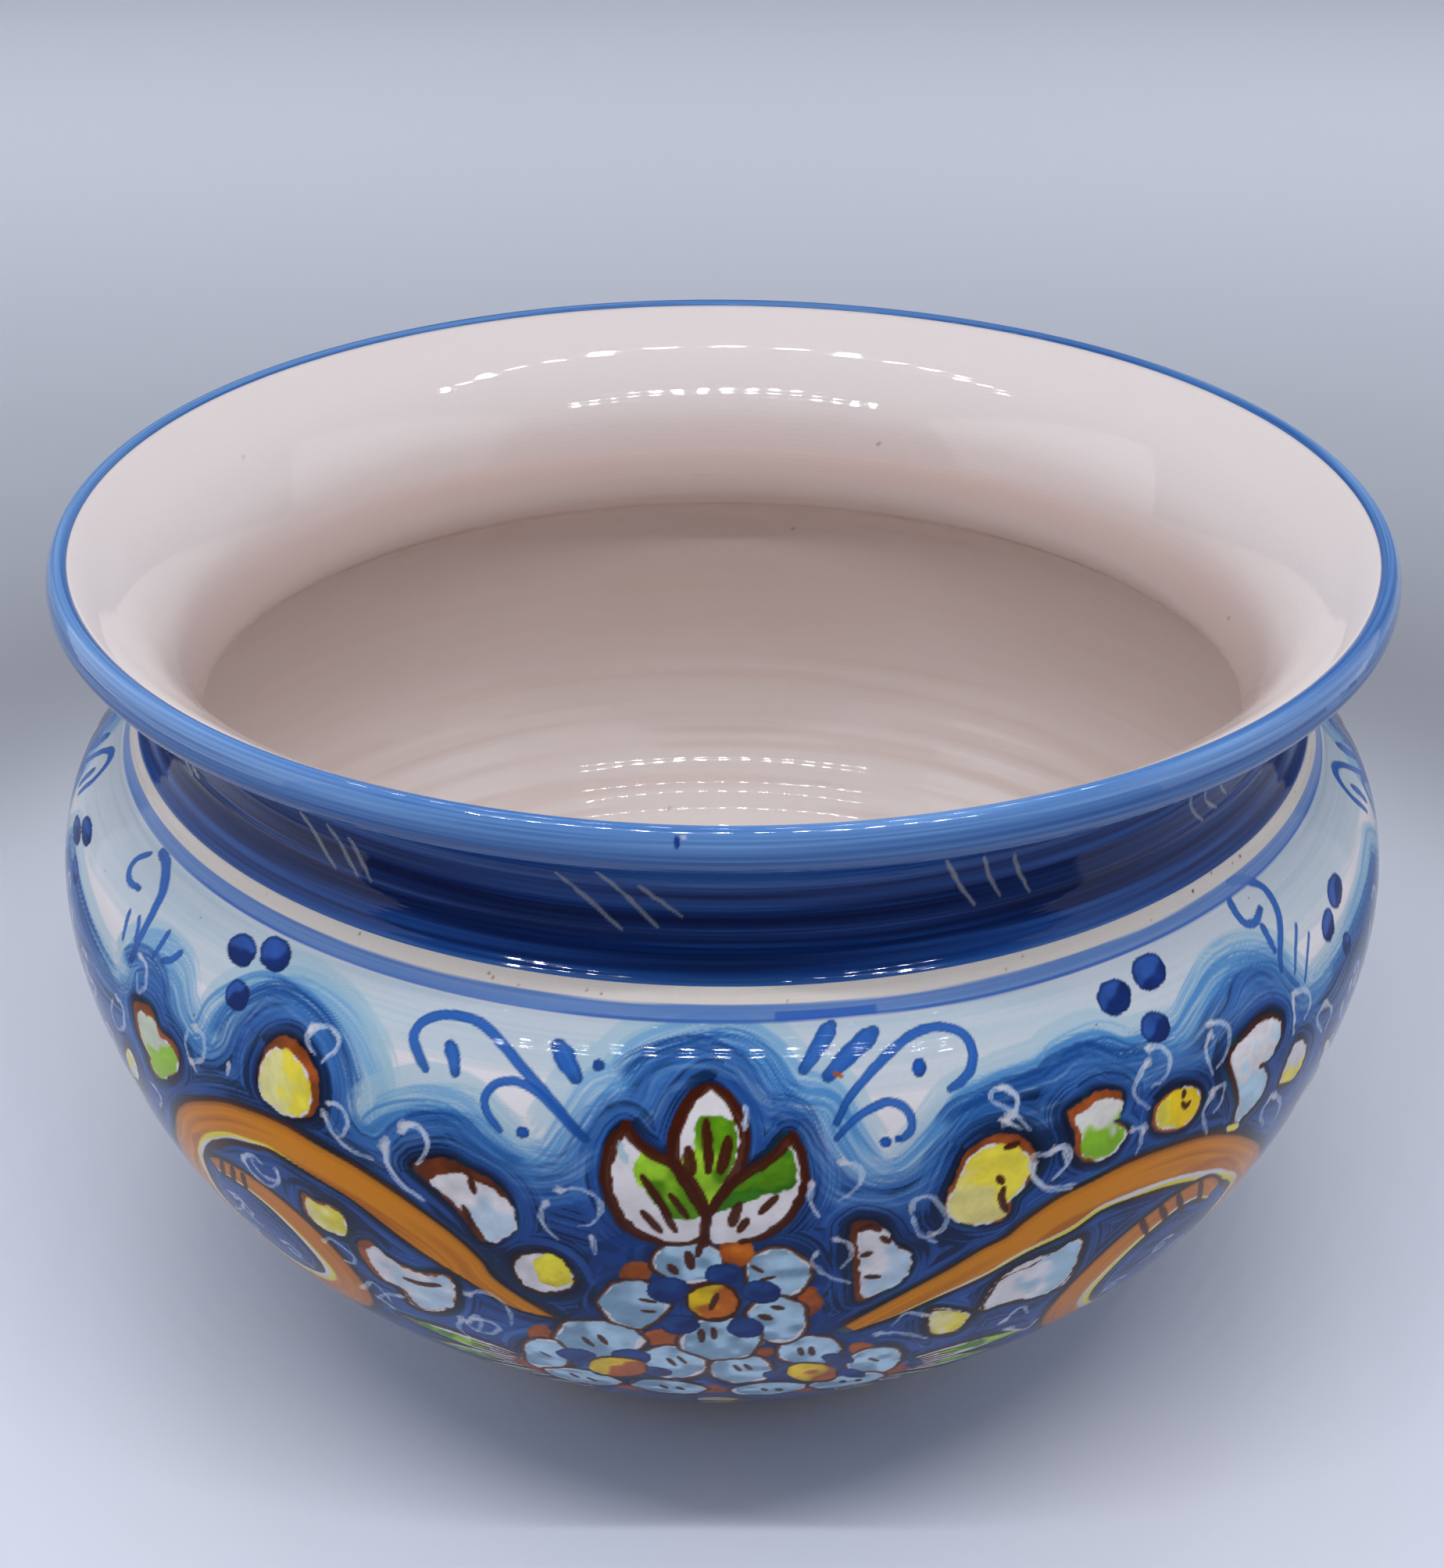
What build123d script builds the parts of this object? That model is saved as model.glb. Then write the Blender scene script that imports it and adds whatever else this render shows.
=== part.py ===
# Cachepot: a wide, round-bellied earthenware flower-pot cover with a waisted neck and a flared, rolled rim.
# Origin: centre of the foot's resting plane. +Z up, along the axis of the wheel it was thrown on.
# All sizes in millimetres.
import os
from math import hypot

from build123d import *

os.makedirs("parts", exist_ok=True)

# ---- driving dimensions ----
mouth_radius = 150.0  # outermost point of the rolled rim
rim_edge_z = 190.4  # height of that point
total_height = 195.4  # top of the rolled rim
belly_radius = 153.6  # widest point of the belly
neck_radius = 127.0  # narrowest point of the neck, outside
throat_radius = 119.2  # narrowest point of the neck, inside
neck_split_z = 153.3  # where the painted belly ends and the neck band begins
wall = 8.0  # wall with its glaze
glaze = 0.6  # glaze coat
floor_z = 13.5  # glazed floor inside
floor_flat_radius = 58.0  # flat part of the floor
base_z = 3.6  # underside of the base, inside the foot ring
foot_outer = 69.4
foot_inner = 61.0

# ---- outline of the glazed surface, (radius, height) ----
belly_outer = [
    (foot_outer, 4.1),
    (75.5, 5.1),
    (82.0, 7.3),
    (88.8, 11.5),
    (95.6, 17.0),
    (102.7, 23.6),
    (109.6, 30.0),
    (116.4, 36.5),
    (122.6, 42.7),
    (128.1, 49.0),
    (132.9, 55.3),
    (136.9, 61.6),
    (140.4, 67.9),
    (143.4, 74.2),
    (146.0, 80.6),
    (148.1, 86.8),
    (150.0, 93.1),
    (151.6, 99.4),
    (152.8, 105.7),
    (153.5, 112.0),
    (belly_radius, 118.3),
    (153.0, 124.7),
    (151.4, 131.0),
    (148.5, 137.0),
    (145.2, 141.0),
    (141.6, 144.2),
    (139.0, 146.2),
    (137.2, 148.2),
    (135.9, 150.5),
    (134.2, neck_split_z),
]
neck_outer = [
    (134.2, neck_split_z),
    (131.7, 156.2),
    (129.6, 159.6),
    (128.0, 163.6),
    (neck_radius, 168.0),
    (127.5, 172.4),
    (129.6, 176.6),
    (133.6, 180.6),
    (138.4, 183.2),
    (143.0, 184.6),
]
rim_outer = [
    (143.0, 184.6),
    (146.0, 185.2),
    (148.2, 186.4),
    (149.6, 188.2),
    (mouth_radius, rim_edge_z),
    (149.7, 192.5),
    (148.9, 194.3),
    (147.6, total_height),
    (146.3, 195.3),
    (145.2, 194.5),
]
flare_inner = [
    (throat_radius + 0.3, neck_split_z),
    (throat_radius, 158.0),
    (120.3, 164.0),
    (122.6, 170.5),
    (126.0, 177.0),
    (130.0, 182.6),
    (134.4, 187.0),
    (138.8, 190.4),
    (142.2, 192.8),
    (145.2, 194.5),
]


def beside(points, distance, side):
    """Moves each point square to the line by distance, to its left (side 1) or its right (side -1)."""
    moved = []
    for i, (r, z) in enumerate(points):
        r0, z0 = points[max(i - 1, 0)]
        r1, z1 = points[min(i + 1, len(points) - 1)]
        dr, dz = r1 - r0, z1 - z0
        k = side * distance / hypot(dr, dz)
        moved.append((r - dz * k, z + dr * k))
    return moved


# belly inside: one wall in from the outside, then under the shoulder into the throat
belly_inner = [
    (floor_flat_radius, floor_z),
    (66.0, 13.8),
    (73.0, 14.7),
    *beside(belly_outer, wall, 1)[3:23],
    (141.4, 133.4),
    (136.8, 138.2),
    (130.9, 142.0),
    (125.4, 145.3),
    (121.5, 149.2),
    (throat_radius + 0.3, neck_split_z),
]

# ---- where the clay meets the glaze ----
clay_belly = [(foot_outer, 4.7), *beside(belly_outer, glaze, 1)[1:-1], (133.6, neck_split_z)]
clay_neck = [(133.6, neck_split_z), *beside(neck_outer, glaze, 1)[1:-1], (142.9, 185.2)]
rim_seam = (145.4, 193.9)  # under the edge between the blue lip and the white flare
clay_rim = [(142.9, 185.2), *beside(rim_outer, glaze, 1)[1:-1], rim_seam]
clay_inner = [
    (floor_flat_radius, floor_z - glaze),
    *beside(belly_inner, glaze, -1)[1:-1],
    (throat_radius + 0.3 + glaze, neck_split_z),
]
clay_flare = [
    (throat_radius + 0.3 + glaze, neck_split_z),
    *beside(flare_inner, glaze, -1)[1:-1],
    rim_seam,
]

# ---- foot ring: turned from the base, left bare ----
with BuildPart() as foot_ring:
    with BuildSketch(Plane.XZ):
        with BuildLine():
            Polyline(
                (foot_inner, base_z),
                (foot_inner, 1.4),
                (foot_inner + 1.4, 0),
                (foot_outer - 1.6, 0),
                (foot_outer, 1.6),
                (foot_outer, base_z),
                close=True,
            )
        make_face()
    revolve(axis=Axis.Z)
foot_ring.part.label = "foot_ring"
export_step(foot_ring.part, "parts/foot_ring.step")

# ---- bowl wall: belly and floor, up to the neck ----
with BuildPart() as bowl_wall:
    with BuildSketch(Plane.XZ):
        with BuildLine():
            Line((0, base_z), (foot_outer, base_z))
            Line((foot_outer, base_z), clay_belly[0])
            Spline(*clay_belly)
            Line(clay_belly[-1], clay_inner[-1])
            Spline(*clay_inner[::-1])
            Line(clay_inner[0], (0, floor_z - glaze))
            Line((0, floor_z - glaze), (0, base_z))
        make_face()
    revolve(axis=Axis.Z)
bowl_wall.part.label = "bowl_wall"
export_step(bowl_wall.part, "parts/bowl_wall.step")

# ---- neck collar: the waisted neck and the flare behind the lip ----
with BuildPart() as neck_collar:
    with BuildSketch(Plane.XZ):
        with BuildLine():
            Line(clay_flare[0], clay_neck[0])
            Spline(*clay_neck)
            Line(clay_neck[-1], rim_seam)
            Spline(*clay_flare[::-1])
        make_face()
    revolve(axis=Axis.Z)
neck_collar.part.label = "neck_collar"
export_step(neck_collar.part, "parts/neck_collar.step")

# ---- rim roll: the clay rolled over at the mouth ----
with BuildPart() as rim_roll:
    with BuildSketch(Plane.XZ):
        with BuildLine():
            Spline(*clay_rim)
            Line(rim_seam, clay_rim[0])
        make_face()
    revolve(axis=Axis.Z)
rim_roll.part.label = "rim_roll"
export_step(rim_roll.part, "parts/rim_roll.step")

# ---- glaze inside: floor, belly, throat and flare ----
with BuildPart() as lining_glaze:
    with BuildSketch(Plane.XZ):
        with BuildLine():
            Line((0, floor_z - glaze), clay_inner[0])
            Spline(*clay_inner)
            Spline(*clay_flare)
            Line(rim_seam, flare_inner[-1])
            Spline(*flare_inner[::-1])
            Spline(*belly_inner[::-1])
            Line(belly_inner[0], (0, floor_z))
            Line((0, floor_z), (0, floor_z - glaze))
        make_face()
    revolve(axis=Axis.Z)
lining_glaze.part.label = "lining_glaze"
export_step(lining_glaze.part, "parts/lining_glaze.step")

# ---- painted glaze outside the belly ----
with BuildPart() as belly_glaze:
    with BuildSketch(Plane.XZ):
        with BuildLine():
            Spline(*belly_outer)
            Line(belly_outer[-1], clay_belly[-1])
            Spline(*clay_belly[::-1])
            Line(clay_belly[0], belly_outer[0])
        make_face()
    revolve(axis=Axis.Z)
belly_glaze.part.label = "belly_glaze"
export_step(belly_glaze.part, "parts/belly_glaze.step")

# ---- blue glaze outside the neck ----
with BuildPart() as neck_glaze:
    with BuildSketch(Plane.XZ):
        with BuildLine():
            Spline(*neck_outer)
            Line(neck_outer[-1], clay_neck[-1])
            Spline(*clay_neck[::-1])
            Line(clay_neck[0], neck_outer[0])
        make_face()
    revolve(axis=Axis.Z)
neck_glaze.part.label = "neck_glaze"
export_step(neck_glaze.part, "parts/neck_glaze.step")

# ---- blue glaze over the lip ----
with BuildPart() as rim_glaze:
    with BuildSketch(Plane.XZ):
        with BuildLine():
            Spline(*rim_outer)
            Line(rim_outer[-1], rim_seam)
            Spline(*clay_rim[::-1])
            Line(clay_rim[0], rim_outer[0])
        make_face()
    revolve(axis=Axis.Z)
rim_glaze.part.label = "rim_glaze"
export_step(rim_glaze.part, "parts/rim_glaze.step")
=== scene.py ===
"""A glazed earthenware cachepot: a wheel-thrown bowl with a painted belly, a banded neck, a
rolled blue lip and a milk-white lining, on a plain pale floor under a row of small lamps."""

import bpy
from mathutils import Matrix, Vector
import math

import numpy as np


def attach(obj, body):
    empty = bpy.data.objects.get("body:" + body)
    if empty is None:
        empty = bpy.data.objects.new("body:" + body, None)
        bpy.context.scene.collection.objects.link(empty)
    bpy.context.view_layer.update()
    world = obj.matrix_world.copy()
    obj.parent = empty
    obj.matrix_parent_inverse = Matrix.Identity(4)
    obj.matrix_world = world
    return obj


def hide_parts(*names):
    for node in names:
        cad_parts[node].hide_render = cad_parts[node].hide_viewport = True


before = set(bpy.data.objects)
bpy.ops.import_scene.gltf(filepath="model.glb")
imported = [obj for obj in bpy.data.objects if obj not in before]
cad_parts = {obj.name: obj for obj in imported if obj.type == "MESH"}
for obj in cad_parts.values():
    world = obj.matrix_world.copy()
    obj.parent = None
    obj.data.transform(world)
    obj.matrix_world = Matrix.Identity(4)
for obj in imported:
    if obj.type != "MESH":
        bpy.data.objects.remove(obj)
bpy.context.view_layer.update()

# ---------------------------------------------------------------- the pot's outline
# radius and height in millimetres, from the foot up to the neck, the neck, the rolled lip
# and down inside
BELLY = [(69.4, 4.1), (75.5, 5.1), (82, 7.3), (88.8, 11.5), (95.6, 17), (102.7, 23.6),
         (109.6, 30), (116.4, 36.5), (122.6, 42.7), (128.1, 49), (132.9, 55.3), (136.9, 61.6),
         (140.4, 67.9), (143.4, 74.2), (146, 80.6), (148.1, 86.8), (150, 93.1), (151.6, 99.4),
         (152.8, 105.7), (153.5, 112), (153.6, 118.3), (153, 124.7), (151.4, 131), (148.5, 137),
         (145.2, 141), (141.6, 144.2), (139, 146.2), (137.2, 148.2), (135.9, 150.5), (134.2, 153.3)]
NECK = [(134.2, 153.3), (131.7, 156.2), (129.6, 159.6), (128, 163.6), (127, 168), (127.5, 172.4),
        (129.6, 176.6), (133.6, 180.6), (138.4, 183.2), (143, 184.6)]
RIM = [(143, 184.6), (146, 185.2), (148.2, 186.4), (149.6, 188.2), (150, 190.4), (149.7, 192.5),
       (148.9, 194.3), (147.6, 195.4), (146.3, 195.3), (145.2, 194.5)]
FLARE = [(119.5, 153.3), (119.2, 158), (120.3, 164), (122.6, 170.5), (126, 177), (130, 182.6),
         (134.4, 187), (138.8, 190.4), (142.2, 192.8), (145.2, 194.5)]
Z_CREAM, Z_STRIPE, Z_SHOULDER = 153.3, 150.25, 147.4


def spline(points, count=4000):
    """A natural cubic through the points, as many samples along it."""
    p = np.array(points, float)
    t = np.r_[0, np.cumsum(np.linalg.norm(np.diff(p, axis=0), axis=1))]
    n, h = len(p), np.diff(t)
    a, b = np.zeros((n, n)), np.zeros((n, 2))
    a[0, 0] = a[-1, -1] = 1
    for i in range(1, n - 1):
        a[i, i - 1], a[i, i], a[i, i + 1] = h[i - 1], 2 * (h[i - 1] + h[i]), h[i]
        b[i] = 3 * ((p[i + 1] - p[i]) / h[i] - (p[i] - p[i - 1]) / h[i - 1])
    c = np.linalg.solve(a, b)
    at_ = np.linspace(0, t[-1], count)
    k = np.clip(np.searchsorted(t, at_) - 1, 0, n - 2)
    d, hh = (at_ - t[k])[:, None], h[k][:, None]
    lin = (p[k + 1] - p[k]) / hh - hh * (2 * c[k] + c[k + 1]) / 3
    cub = (c[k + 1] - c[k]) / (3 * hh)
    return p[k] + lin * d + c[k] * d * d + cub * d ** 3


def lengths(p):
    return np.r_[0, np.cumsum(np.linalg.norm(np.diff(p, axis=0), axis=1))]


def evenly(p, step):
    """The same line with samples a step apart, and each sample's place along it."""
    s = lengths(p)
    n = max(int(round(s[-1] / step)), 2)
    q = np.linspace(0, s[-1], n + 1)
    return np.c_[np.interp(q, s, p[:, 0]), np.interp(q, s, p[:, 1])], q


# ---------------------------------------------------------------- the viewpoint
# in pixels of a 1848 x 2007 frame, and millimetres
FOCAL, MID_X, MID_Y = 3448.09, 924.5, 1003.45
EYE, AIM, ROLL = np.array([0, -563.93, 429.83]), np.array([-0.14, 0, 124.30]), 0.0043569


def eye_axes():
    fw = (AIM - EYE) / np.linalg.norm(AIM - EYE)
    r = np.cross(fw, [0, 0, 1])
    r /= np.linalg.norm(r)
    u = np.cross(r, fw)
    return (math.cos(ROLL) * r + math.sin(ROLL) * u, -math.sin(ROLL) * r + math.cos(ROLL) * u, fw)


def _surface(table):
    p = spline(table)
    return p, lengths(p)


SURFACES = {"belly": _surface(BELLY), "neck": _surface(NECK), "rim": _surface(RIM)}


def at(points, surface="belly"):
    """Where the sight lines through these picture points first meet the pot: angle round it
    (0 at the front, growing to the right) and distance up its outline."""
    pts = np.array(points, float).reshape(-1, 2)
    ax, ay, fw = eye_axes()
    d = fw + ((pts[:, 0] - MID_X) / FOCAL)[:, None] * ax - ((pts[:, 1] - MID_Y) / FOCAL)[:, None] * ay
    d /= np.linalg.norm(d, axis=1)[:, None]
    t = np.linspace(330, 800, 1400)
    q = EYE + t[None, :, None] * d[:, None, :]
    table, arc = SURFACES[surface]
    rr = np.hypot(q[..., 0], q[..., 1])
    gap = rr - np.interp(q[..., 2], table[:, 1], table[:, 0])
    gap += 40 * np.clip(table[0, 1] - 0.5 - q[..., 2], 0, 1) + 40 * np.clip(q[..., 2] - table[-1, 1] - 0.5, 0, 1)
    out = np.zeros((len(pts), 2))
    for i in range(len(pts)):
        g = gap[i]
        hit = np.nonzero((g[:-1] > 0) & (g[1:] <= 0))[0]
        if len(hit):
            k = hit[0]
            w = g[k] / (g[k] - g[k + 1])
        else:
            k = min(int(np.argmin(g)), len(t) - 2)
            w = 0
        p = q[i, k] * (1 - w) + q[i, k + 1] * w
        out[i] = math.atan2(p[0], -p[1]), np.interp(p[2], table[:, 1], arc)
    return out


# ---------------------------------------------------------------- smooth noise
_TABLE = np.random.RandomState(7).rand(256, 256).astype(np.float32)


def noise(x, y, seed=0, round_=0):
    """Smooth value noise from 0 to 1. round_ cells in x go once round the pot."""
    y = y + 31.7 * seed
    i, j = np.floor(x).astype(np.int64), np.floor(y).astype(np.int64)
    fx, fy = (x - i).astype(np.float32), (y - j).astype(np.float32)
    fx, fy = fx * fx * (3 - 2 * fx), fy * fy * (3 - 2 * fy)
    k = i + 1
    if round_:
        i, k = i % round_, k % round_
    i, k = (i + 13 * seed) & 255, (k + 13 * seed) & 255
    j0, j1 = j & 255, (j + 1) & 255
    return ((_TABLE[i, j0] * (1 - fx) + _TABLE[k, j0] * fx) * (1 - fy)
            + (_TABLE[i, j1] * (1 - fx) + _TABLE[k, j1] * fx) * fy)


def step(a, b, x):
    u = np.clip((x - a) / (b - a), 0, 1)
    return u * u * (3 - 2 * u)


def curve(points, gap=0.7, closed=False, radius=140.0):
    """A smooth line through (angle, distance) points, samples about gap mm apart."""
    p = np.array(points, float)
    if closed:
        p = np.r_[p[-1:], p, p[:2]]
    else:
        p = np.r_[2 * p[:1] - p[1:2], p, 2 * p[-1:] - p[-2:-1]]
    out = []
    for i in range(1, len(p) - 2):
        a, b, c, d = p[i - 1], p[i], p[i + 1], p[i + 2]
        size = math.hypot((c[0] - b[0]) * radius, c[1] - b[1])
        n = max(2, int(size / gap))
        u = np.linspace(0, 1, n, endpoint=False)[:, None]
        out.append(0.5 * (2 * b + (c - a) * u + (2 * a - 5 * b + 4 * c - d) * u ** 2
                          + (3 * b - a - 3 * c + d) * u ** 3))
    if not closed:
        out.append(p[-2:-1])
    return np.concatenate(out)


# ---------------------------------------------------------------- the painted surface
class Glaze:
    """Paint on the vertices of one turned surface. Rows go up the outline, columns round it."""

    def __init__(self, theta, s, r, z, base):
        self.t, self.s, self.r, self.z = theta, s, r, z
        self.c = np.empty((len(s), len(theta), 3), np.float32)
        self.c[:] = base
        self.ink = np.zeros((len(s), len(theta)), np.float32)

    def window(self, t0, t1, s0, s1):
        rows = np.nonzero((self.s >= s0) & (self.s <= s1))[0]
        mid, half = (t0 + t1) / 2, min((t1 - t0) / 2, math.pi)
        d = (self.t - mid + math.pi) % (2 * math.pi) - math.pi
        cols = np.nonzero(np.abs(d) <= half)[0]
        cols = cols[np.argsort(d[cols], kind="stable")]
        return rows, cols, d[cols] + mid

    def near(self, line, reach):
        """For each vertex within reach of the line: how far, how far along, and which side."""
        smin, smax = line[:, 1].min() - reach, line[:, 1].max() + reach
        rows = np.nonzero((self.s >= smin) & (self.s <= smax))[0]
        if not len(rows):
            return None
        rmin = max(self.r[rows].min(), 20)
        rows, cols, t = self.window(line[:, 0].min() - reach / rmin, line[:, 0].max() + reach / rmin, smin, smax)
        if not len(cols):
            return None
        ss, rr = self.s[rows], self.r[rows]
        far = np.full((len(rows), len(cols)), 1e6, np.float32)
        along, side = np.zeros_like(far), np.zeros_like(far)
        base = 0.0
        for a, b in zip(line[:-1], line[1:]):
            i0, i1 = np.searchsorted(ss, [min(a[1], b[1]) - reach, max(a[1], b[1]) + reach])
            if i1 <= i0:
                base += math.hypot((b[0] - a[0]) * 140, b[1] - a[1])
                continue
            w = reach / max(rr[i0:i1].min(), 20)
            j0, j1 = np.searchsorted(t, [min(a[0], b[0]) - w, max(a[0], b[0]) + w])
            size = math.hypot((b[0] - a[0]) * rr[(i0 + i1) // 2], b[1] - a[1])
            if j1 > j0:
                q = rr[i0:i1, None]
                px, py = (t[None, j0:j1] - a[0]) * q, (ss[i0:i1] - a[1])[:, None]
                bx, by = (b[0] - a[0]) * q, b[1] - a[1]
                u = np.clip((px * bx + py * by) / (bx * bx + by * by + 1e-9), 0, 1)
                ex, ey = px - u * bx, py - u * by
                e = np.sqrt(ex * ex + ey * ey).astype(np.float32)
                f = far[i0:i1, j0:j1]
                m = e < f
                f[m] = e[m]
                along[i0:i1, j0:j1][m] = (base + u * size)[m]
                side[i0:i1, j0:j1][m] = (np.sign(bx * py - by * px) * e)[m]
            base += size
        return rows, cols, t, far, along, side, base

    def inside(self, line, rows, t):
        """Even-odd test of the window's vertices against a closed line."""
        ss = self.s[rows][:, None]
        result = np.zeros((len(rows), len(t)), bool)
        nxt = np.roll(line, -1, axis=0)
        for a, b in zip(line, nxt):
            if a[1] == b[1]:
                continue
            lo, hi = min(a[1], b[1]), max(a[1], b[1])
            k = np.nonzero((ss[:, 0] >= lo) & (ss[:, 0] < hi))[0]
            if len(k):
                x = a[0] + (ss[k] - a[1]) * (b[0] - a[0]) / (b[1] - a[1])
                result[k] ^= t[None, :] < x
        return result

    def lay(self, rows, cols, colour, alpha, ink=0.0):
        ix = np.ix_(rows, cols)
        a = alpha[..., None].astype(np.float32)
        self.c[ix] = self.c[ix] * (1 - a) + np.asarray(colour, np.float32) * a
        if ink:
            self.ink[ix] = self.ink[ix] * (1 - alpha) + ink * alpha

    def brush(self, line, width, colour, alpha=1.0, taper=(0.15, 0.3), rough=0.12, streak=0.2,
              pool=0.0, seed=0, soft=0.16, ink=0.0, gap=0.7, smooth=True, tip=0.25, dry=0.0):
        """One stroke of a loaded brush: width in mm, thinner at its ends, with bristle marks."""
        p = curve(line, gap) if smooth else np.asarray(line, float)
        found = self.near(p, width * 0.75 + 0.8)
        if found is None:
            return
        rows, cols, t, far, along, side, total = found
        u = along / max(total, 1e-6)
        shape = np.minimum(1, tip + (1 - tip) * np.minimum(u / max(taper[0], 1e-3), (1 - u) / max(taper[1], 1e-3)))
        shape = np.sqrt(np.clip(shape, 0, 1))
        wob = 1 + rough * (2 * noise(along / 1.6 + 3.1 * seed, np.sign(side) * 5 + 9.0, seed) - 1)
        half = 0.5 * width * shape * wob
        cover = step(half + soft, half - soft, far)
        marks = noise(side / max(0.11 * width, 0.12), along / 7.0 + seed, seed + 3)
        a = alpha * cover * (1 - streak * marks)
        if dry:
            a *= 1 - dry * step(0.35, 0.75, noise(side / 0.22, along / 1.3, seed + 5)) * (0.4 + 0.6 * u)
        c = np.asarray(colour, np.float32)
        if pool:
            edge = step(0.35, 0.95, far / np.maximum(half, 0.05))
            end = step(0.8, 1.0, u) + 0.5 * step(0.12, 0.0, u)
            k = np.clip(pool * (0.75 * edge + 0.8 * end), 0, 1)[..., None]
            c = c * (1 - k) + c * 0.52 * k
        self.lay(rows, cols, c, np.clip(a, 0, 1), ink)

    def field(self, line, reach=1.2, closed=True, gap=0.6, smooth=True):
        """A closed outline as (rows, cols, angle, distance inside it, along, outline)."""
        p = curve(line, gap, True) if smooth else np.asarray(line, float)
        found = self.near(np.r_[p, p[:1]], reach)
        if found is None:
            return None
        rows, cols, t, far, along, side, total = found
        sign = np.where(self.inside(p, rows, t), 1.0, -1.0)
        far = np.where(far > 1e5, reach + 5, far)
        return rows, cols, t, (far * sign).astype(np.float32), along, p

    def blob(self, line, colour, alpha=1.0, soft=0.16, rough=0.25, seed=0, wash=0.0, second=None,
             lean=(0, 0), ink=0.0, smooth=True, reach=1.2, streaks=None):
        """A filled patch. second is a colour that it runs into, more towards lean (right, up)."""
        found = self.field(line, reach, smooth=smooth)
        if found is None:
            return
        rows, cols, t, d, along, p = found
        x, y = t[None, :] * self.r[rows][:, None], self.s[rows][:, None] + 0 * t[None, :]
        d = d + rough * (2 * noise(x / 1.3, y / 1.3, seed) - 1)
        a = alpha * step(-soft, soft, d)
        c = np.zeros(d.shape + (3,), np.float32) + np.asarray(colour, np.float32)
        n1 = noise(x / 3.1, y / 3.1, seed + 1)
        if second is not None:
            cx, cy = p[:, 0].mean(), p[:, 1].mean()
            w, h = np.ptp(p[:, 0]) * 0.5 + 1e-6, np.ptp(p[:, 1]) * 0.5 + 1e-6
            k = 0.5 + 0.9 * (lean[0] * (t[None, :] - cx) / w + lean[1] * (y - cy) / h) + 0.9 * (n1 - 0.5)
            k = step(0.3, 0.7, k)[..., None]
            c = c * (1 - k) + np.asarray(second, np.float32) * k
        if streaks:
            ang, size, amount = streaks
            u = (x * math.cos(ang) + y * math.sin(ang))
            v = (-x * math.sin(ang) + y * math.cos(ang))
            m = noise(v / size, u / (size * 14), seed + 4)[..., None]
            c = c * (1 + amount * (m - 0.5))
        if wash:
            c = c * (1 + wash * (n1[..., None] - 0.5) * 2)
            c = c * (1 + wash * 0.6 * (noise(x / 0.9, y / 0.9, seed + 2)[..., None] - 0.5))
            rim = step(1.0, 0.0, np.abs(d))[..., None]
            c = c * (1 - wash * 0.35 * rim)
        self.lay(rows, cols, np.clip(c, 0, 255), np.clip(a, 0, 1), ink)


def ellipse(cx, cy, rx, ry, turn=0.0, n=14, wob=0.06, seed=0):
    """An uneven oval in picture units."""
    rs = np.random.RandomState(100 + seed)
    a = np.linspace(0, 2 * math.pi, n, endpoint=False)
    k = 1 + wob * rs.uniform(-1, 1, n)
    x, y = rx * k * np.cos(a), ry * k * np.sin(a)
    c, s = math.cos(turn), math.sin(turn)
    return np.c_[cx + x * c - y * s, cy + x * s + y * c]


# ---------------------------------------------------------------- colours, 0 to 255
WHITE, CREAM, MILK = (226, 220, 221), (226, 216, 204), (214, 222, 230)
CELESTE, CELESTE2 = (162, 192, 205), (138, 180, 200)
STRIPE, WAVE, WAVE2 = (96, 132, 190), (58, 122, 186), (30, 84, 156)
DEEP, DEEP2, NIGHT = (20, 58, 122), (42, 84, 158), (12, 32, 78)
NAVY, NAVY2, TENDRIL = (16, 44, 108), (44, 84, 158), (38, 92, 176)
ORANGE, ORANGE2, RUST = (224, 138, 10), (188, 104, 8), (150, 74, 30)
YELLOW, YELLOW2 = (240, 220, 62), (236, 196, 20)
GREEN, GREEN2, LIME = (92, 148, 22), (54, 112, 24), (150, 196, 48)
PETAL, BROWN, BARK, SOOT = (138, 170, 194), (70, 27, 12), (104, 48, 22), (16, 18, 34)
BLOT = (176, 84, 22)
CHALK = (206, 214, 228)

# small drawings were laid out on enlarged squares of the picture: left, top, enlargement
SQUARES = {"A": (480, 1270, 1.7043), "B": (60, 1030, 2.958), "C": (180, 1380, 2.529),
           "D": (1060, 1400, 2.45), "E": (1280, 1060, 3.0745), "P": (0, 0, 1.0)}

# the top of the deep blue ground round the front half, in picture pixels
WAVE_LINE = [(115.8, 1239.6), (148, 1253), (171.6, 1229.5), (195, 1229.5), (215.5, 1253), (222, 1287),
             (235.8, 1314), (259.5, 1341), (279.7, 1334), (293, 1307), (317, 1287), (350.7, 1273),
             (381, 1283.5), (415, 1310.6), (438.6, 1344), (453.8, 1385), (459, 1429), (475.8, 1446),
             (499.5, 1429), (538.7, 1419.6), (579.7, 1425), (609, 1452), (650, 1481), (703, 1487),
             (738, 1446), (767.5, 1405), (797, 1399), (826, 1364), (867, 1346), (914, 1337.5),
             (961, 1358), (996, 1405), (1043, 1417), (1067, 1464), (1102, 1505), (1155, 1505),
             (1202, 1464), (1237, 1422.6), (1260, 1411), (1301.5, 1393), (1348, 1376), (1361, 1362.5),
             (1403.6, 1343), (1436, 1352.7), (1475, 1346), (1520.7, 1330), (1550, 1287.7),
             (1572.7, 1252), (1605, 1232), (1631, 1235.6), (1654, 1261.7), (1686.6, 1271.4),
             (1712.6, 1281)]


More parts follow.
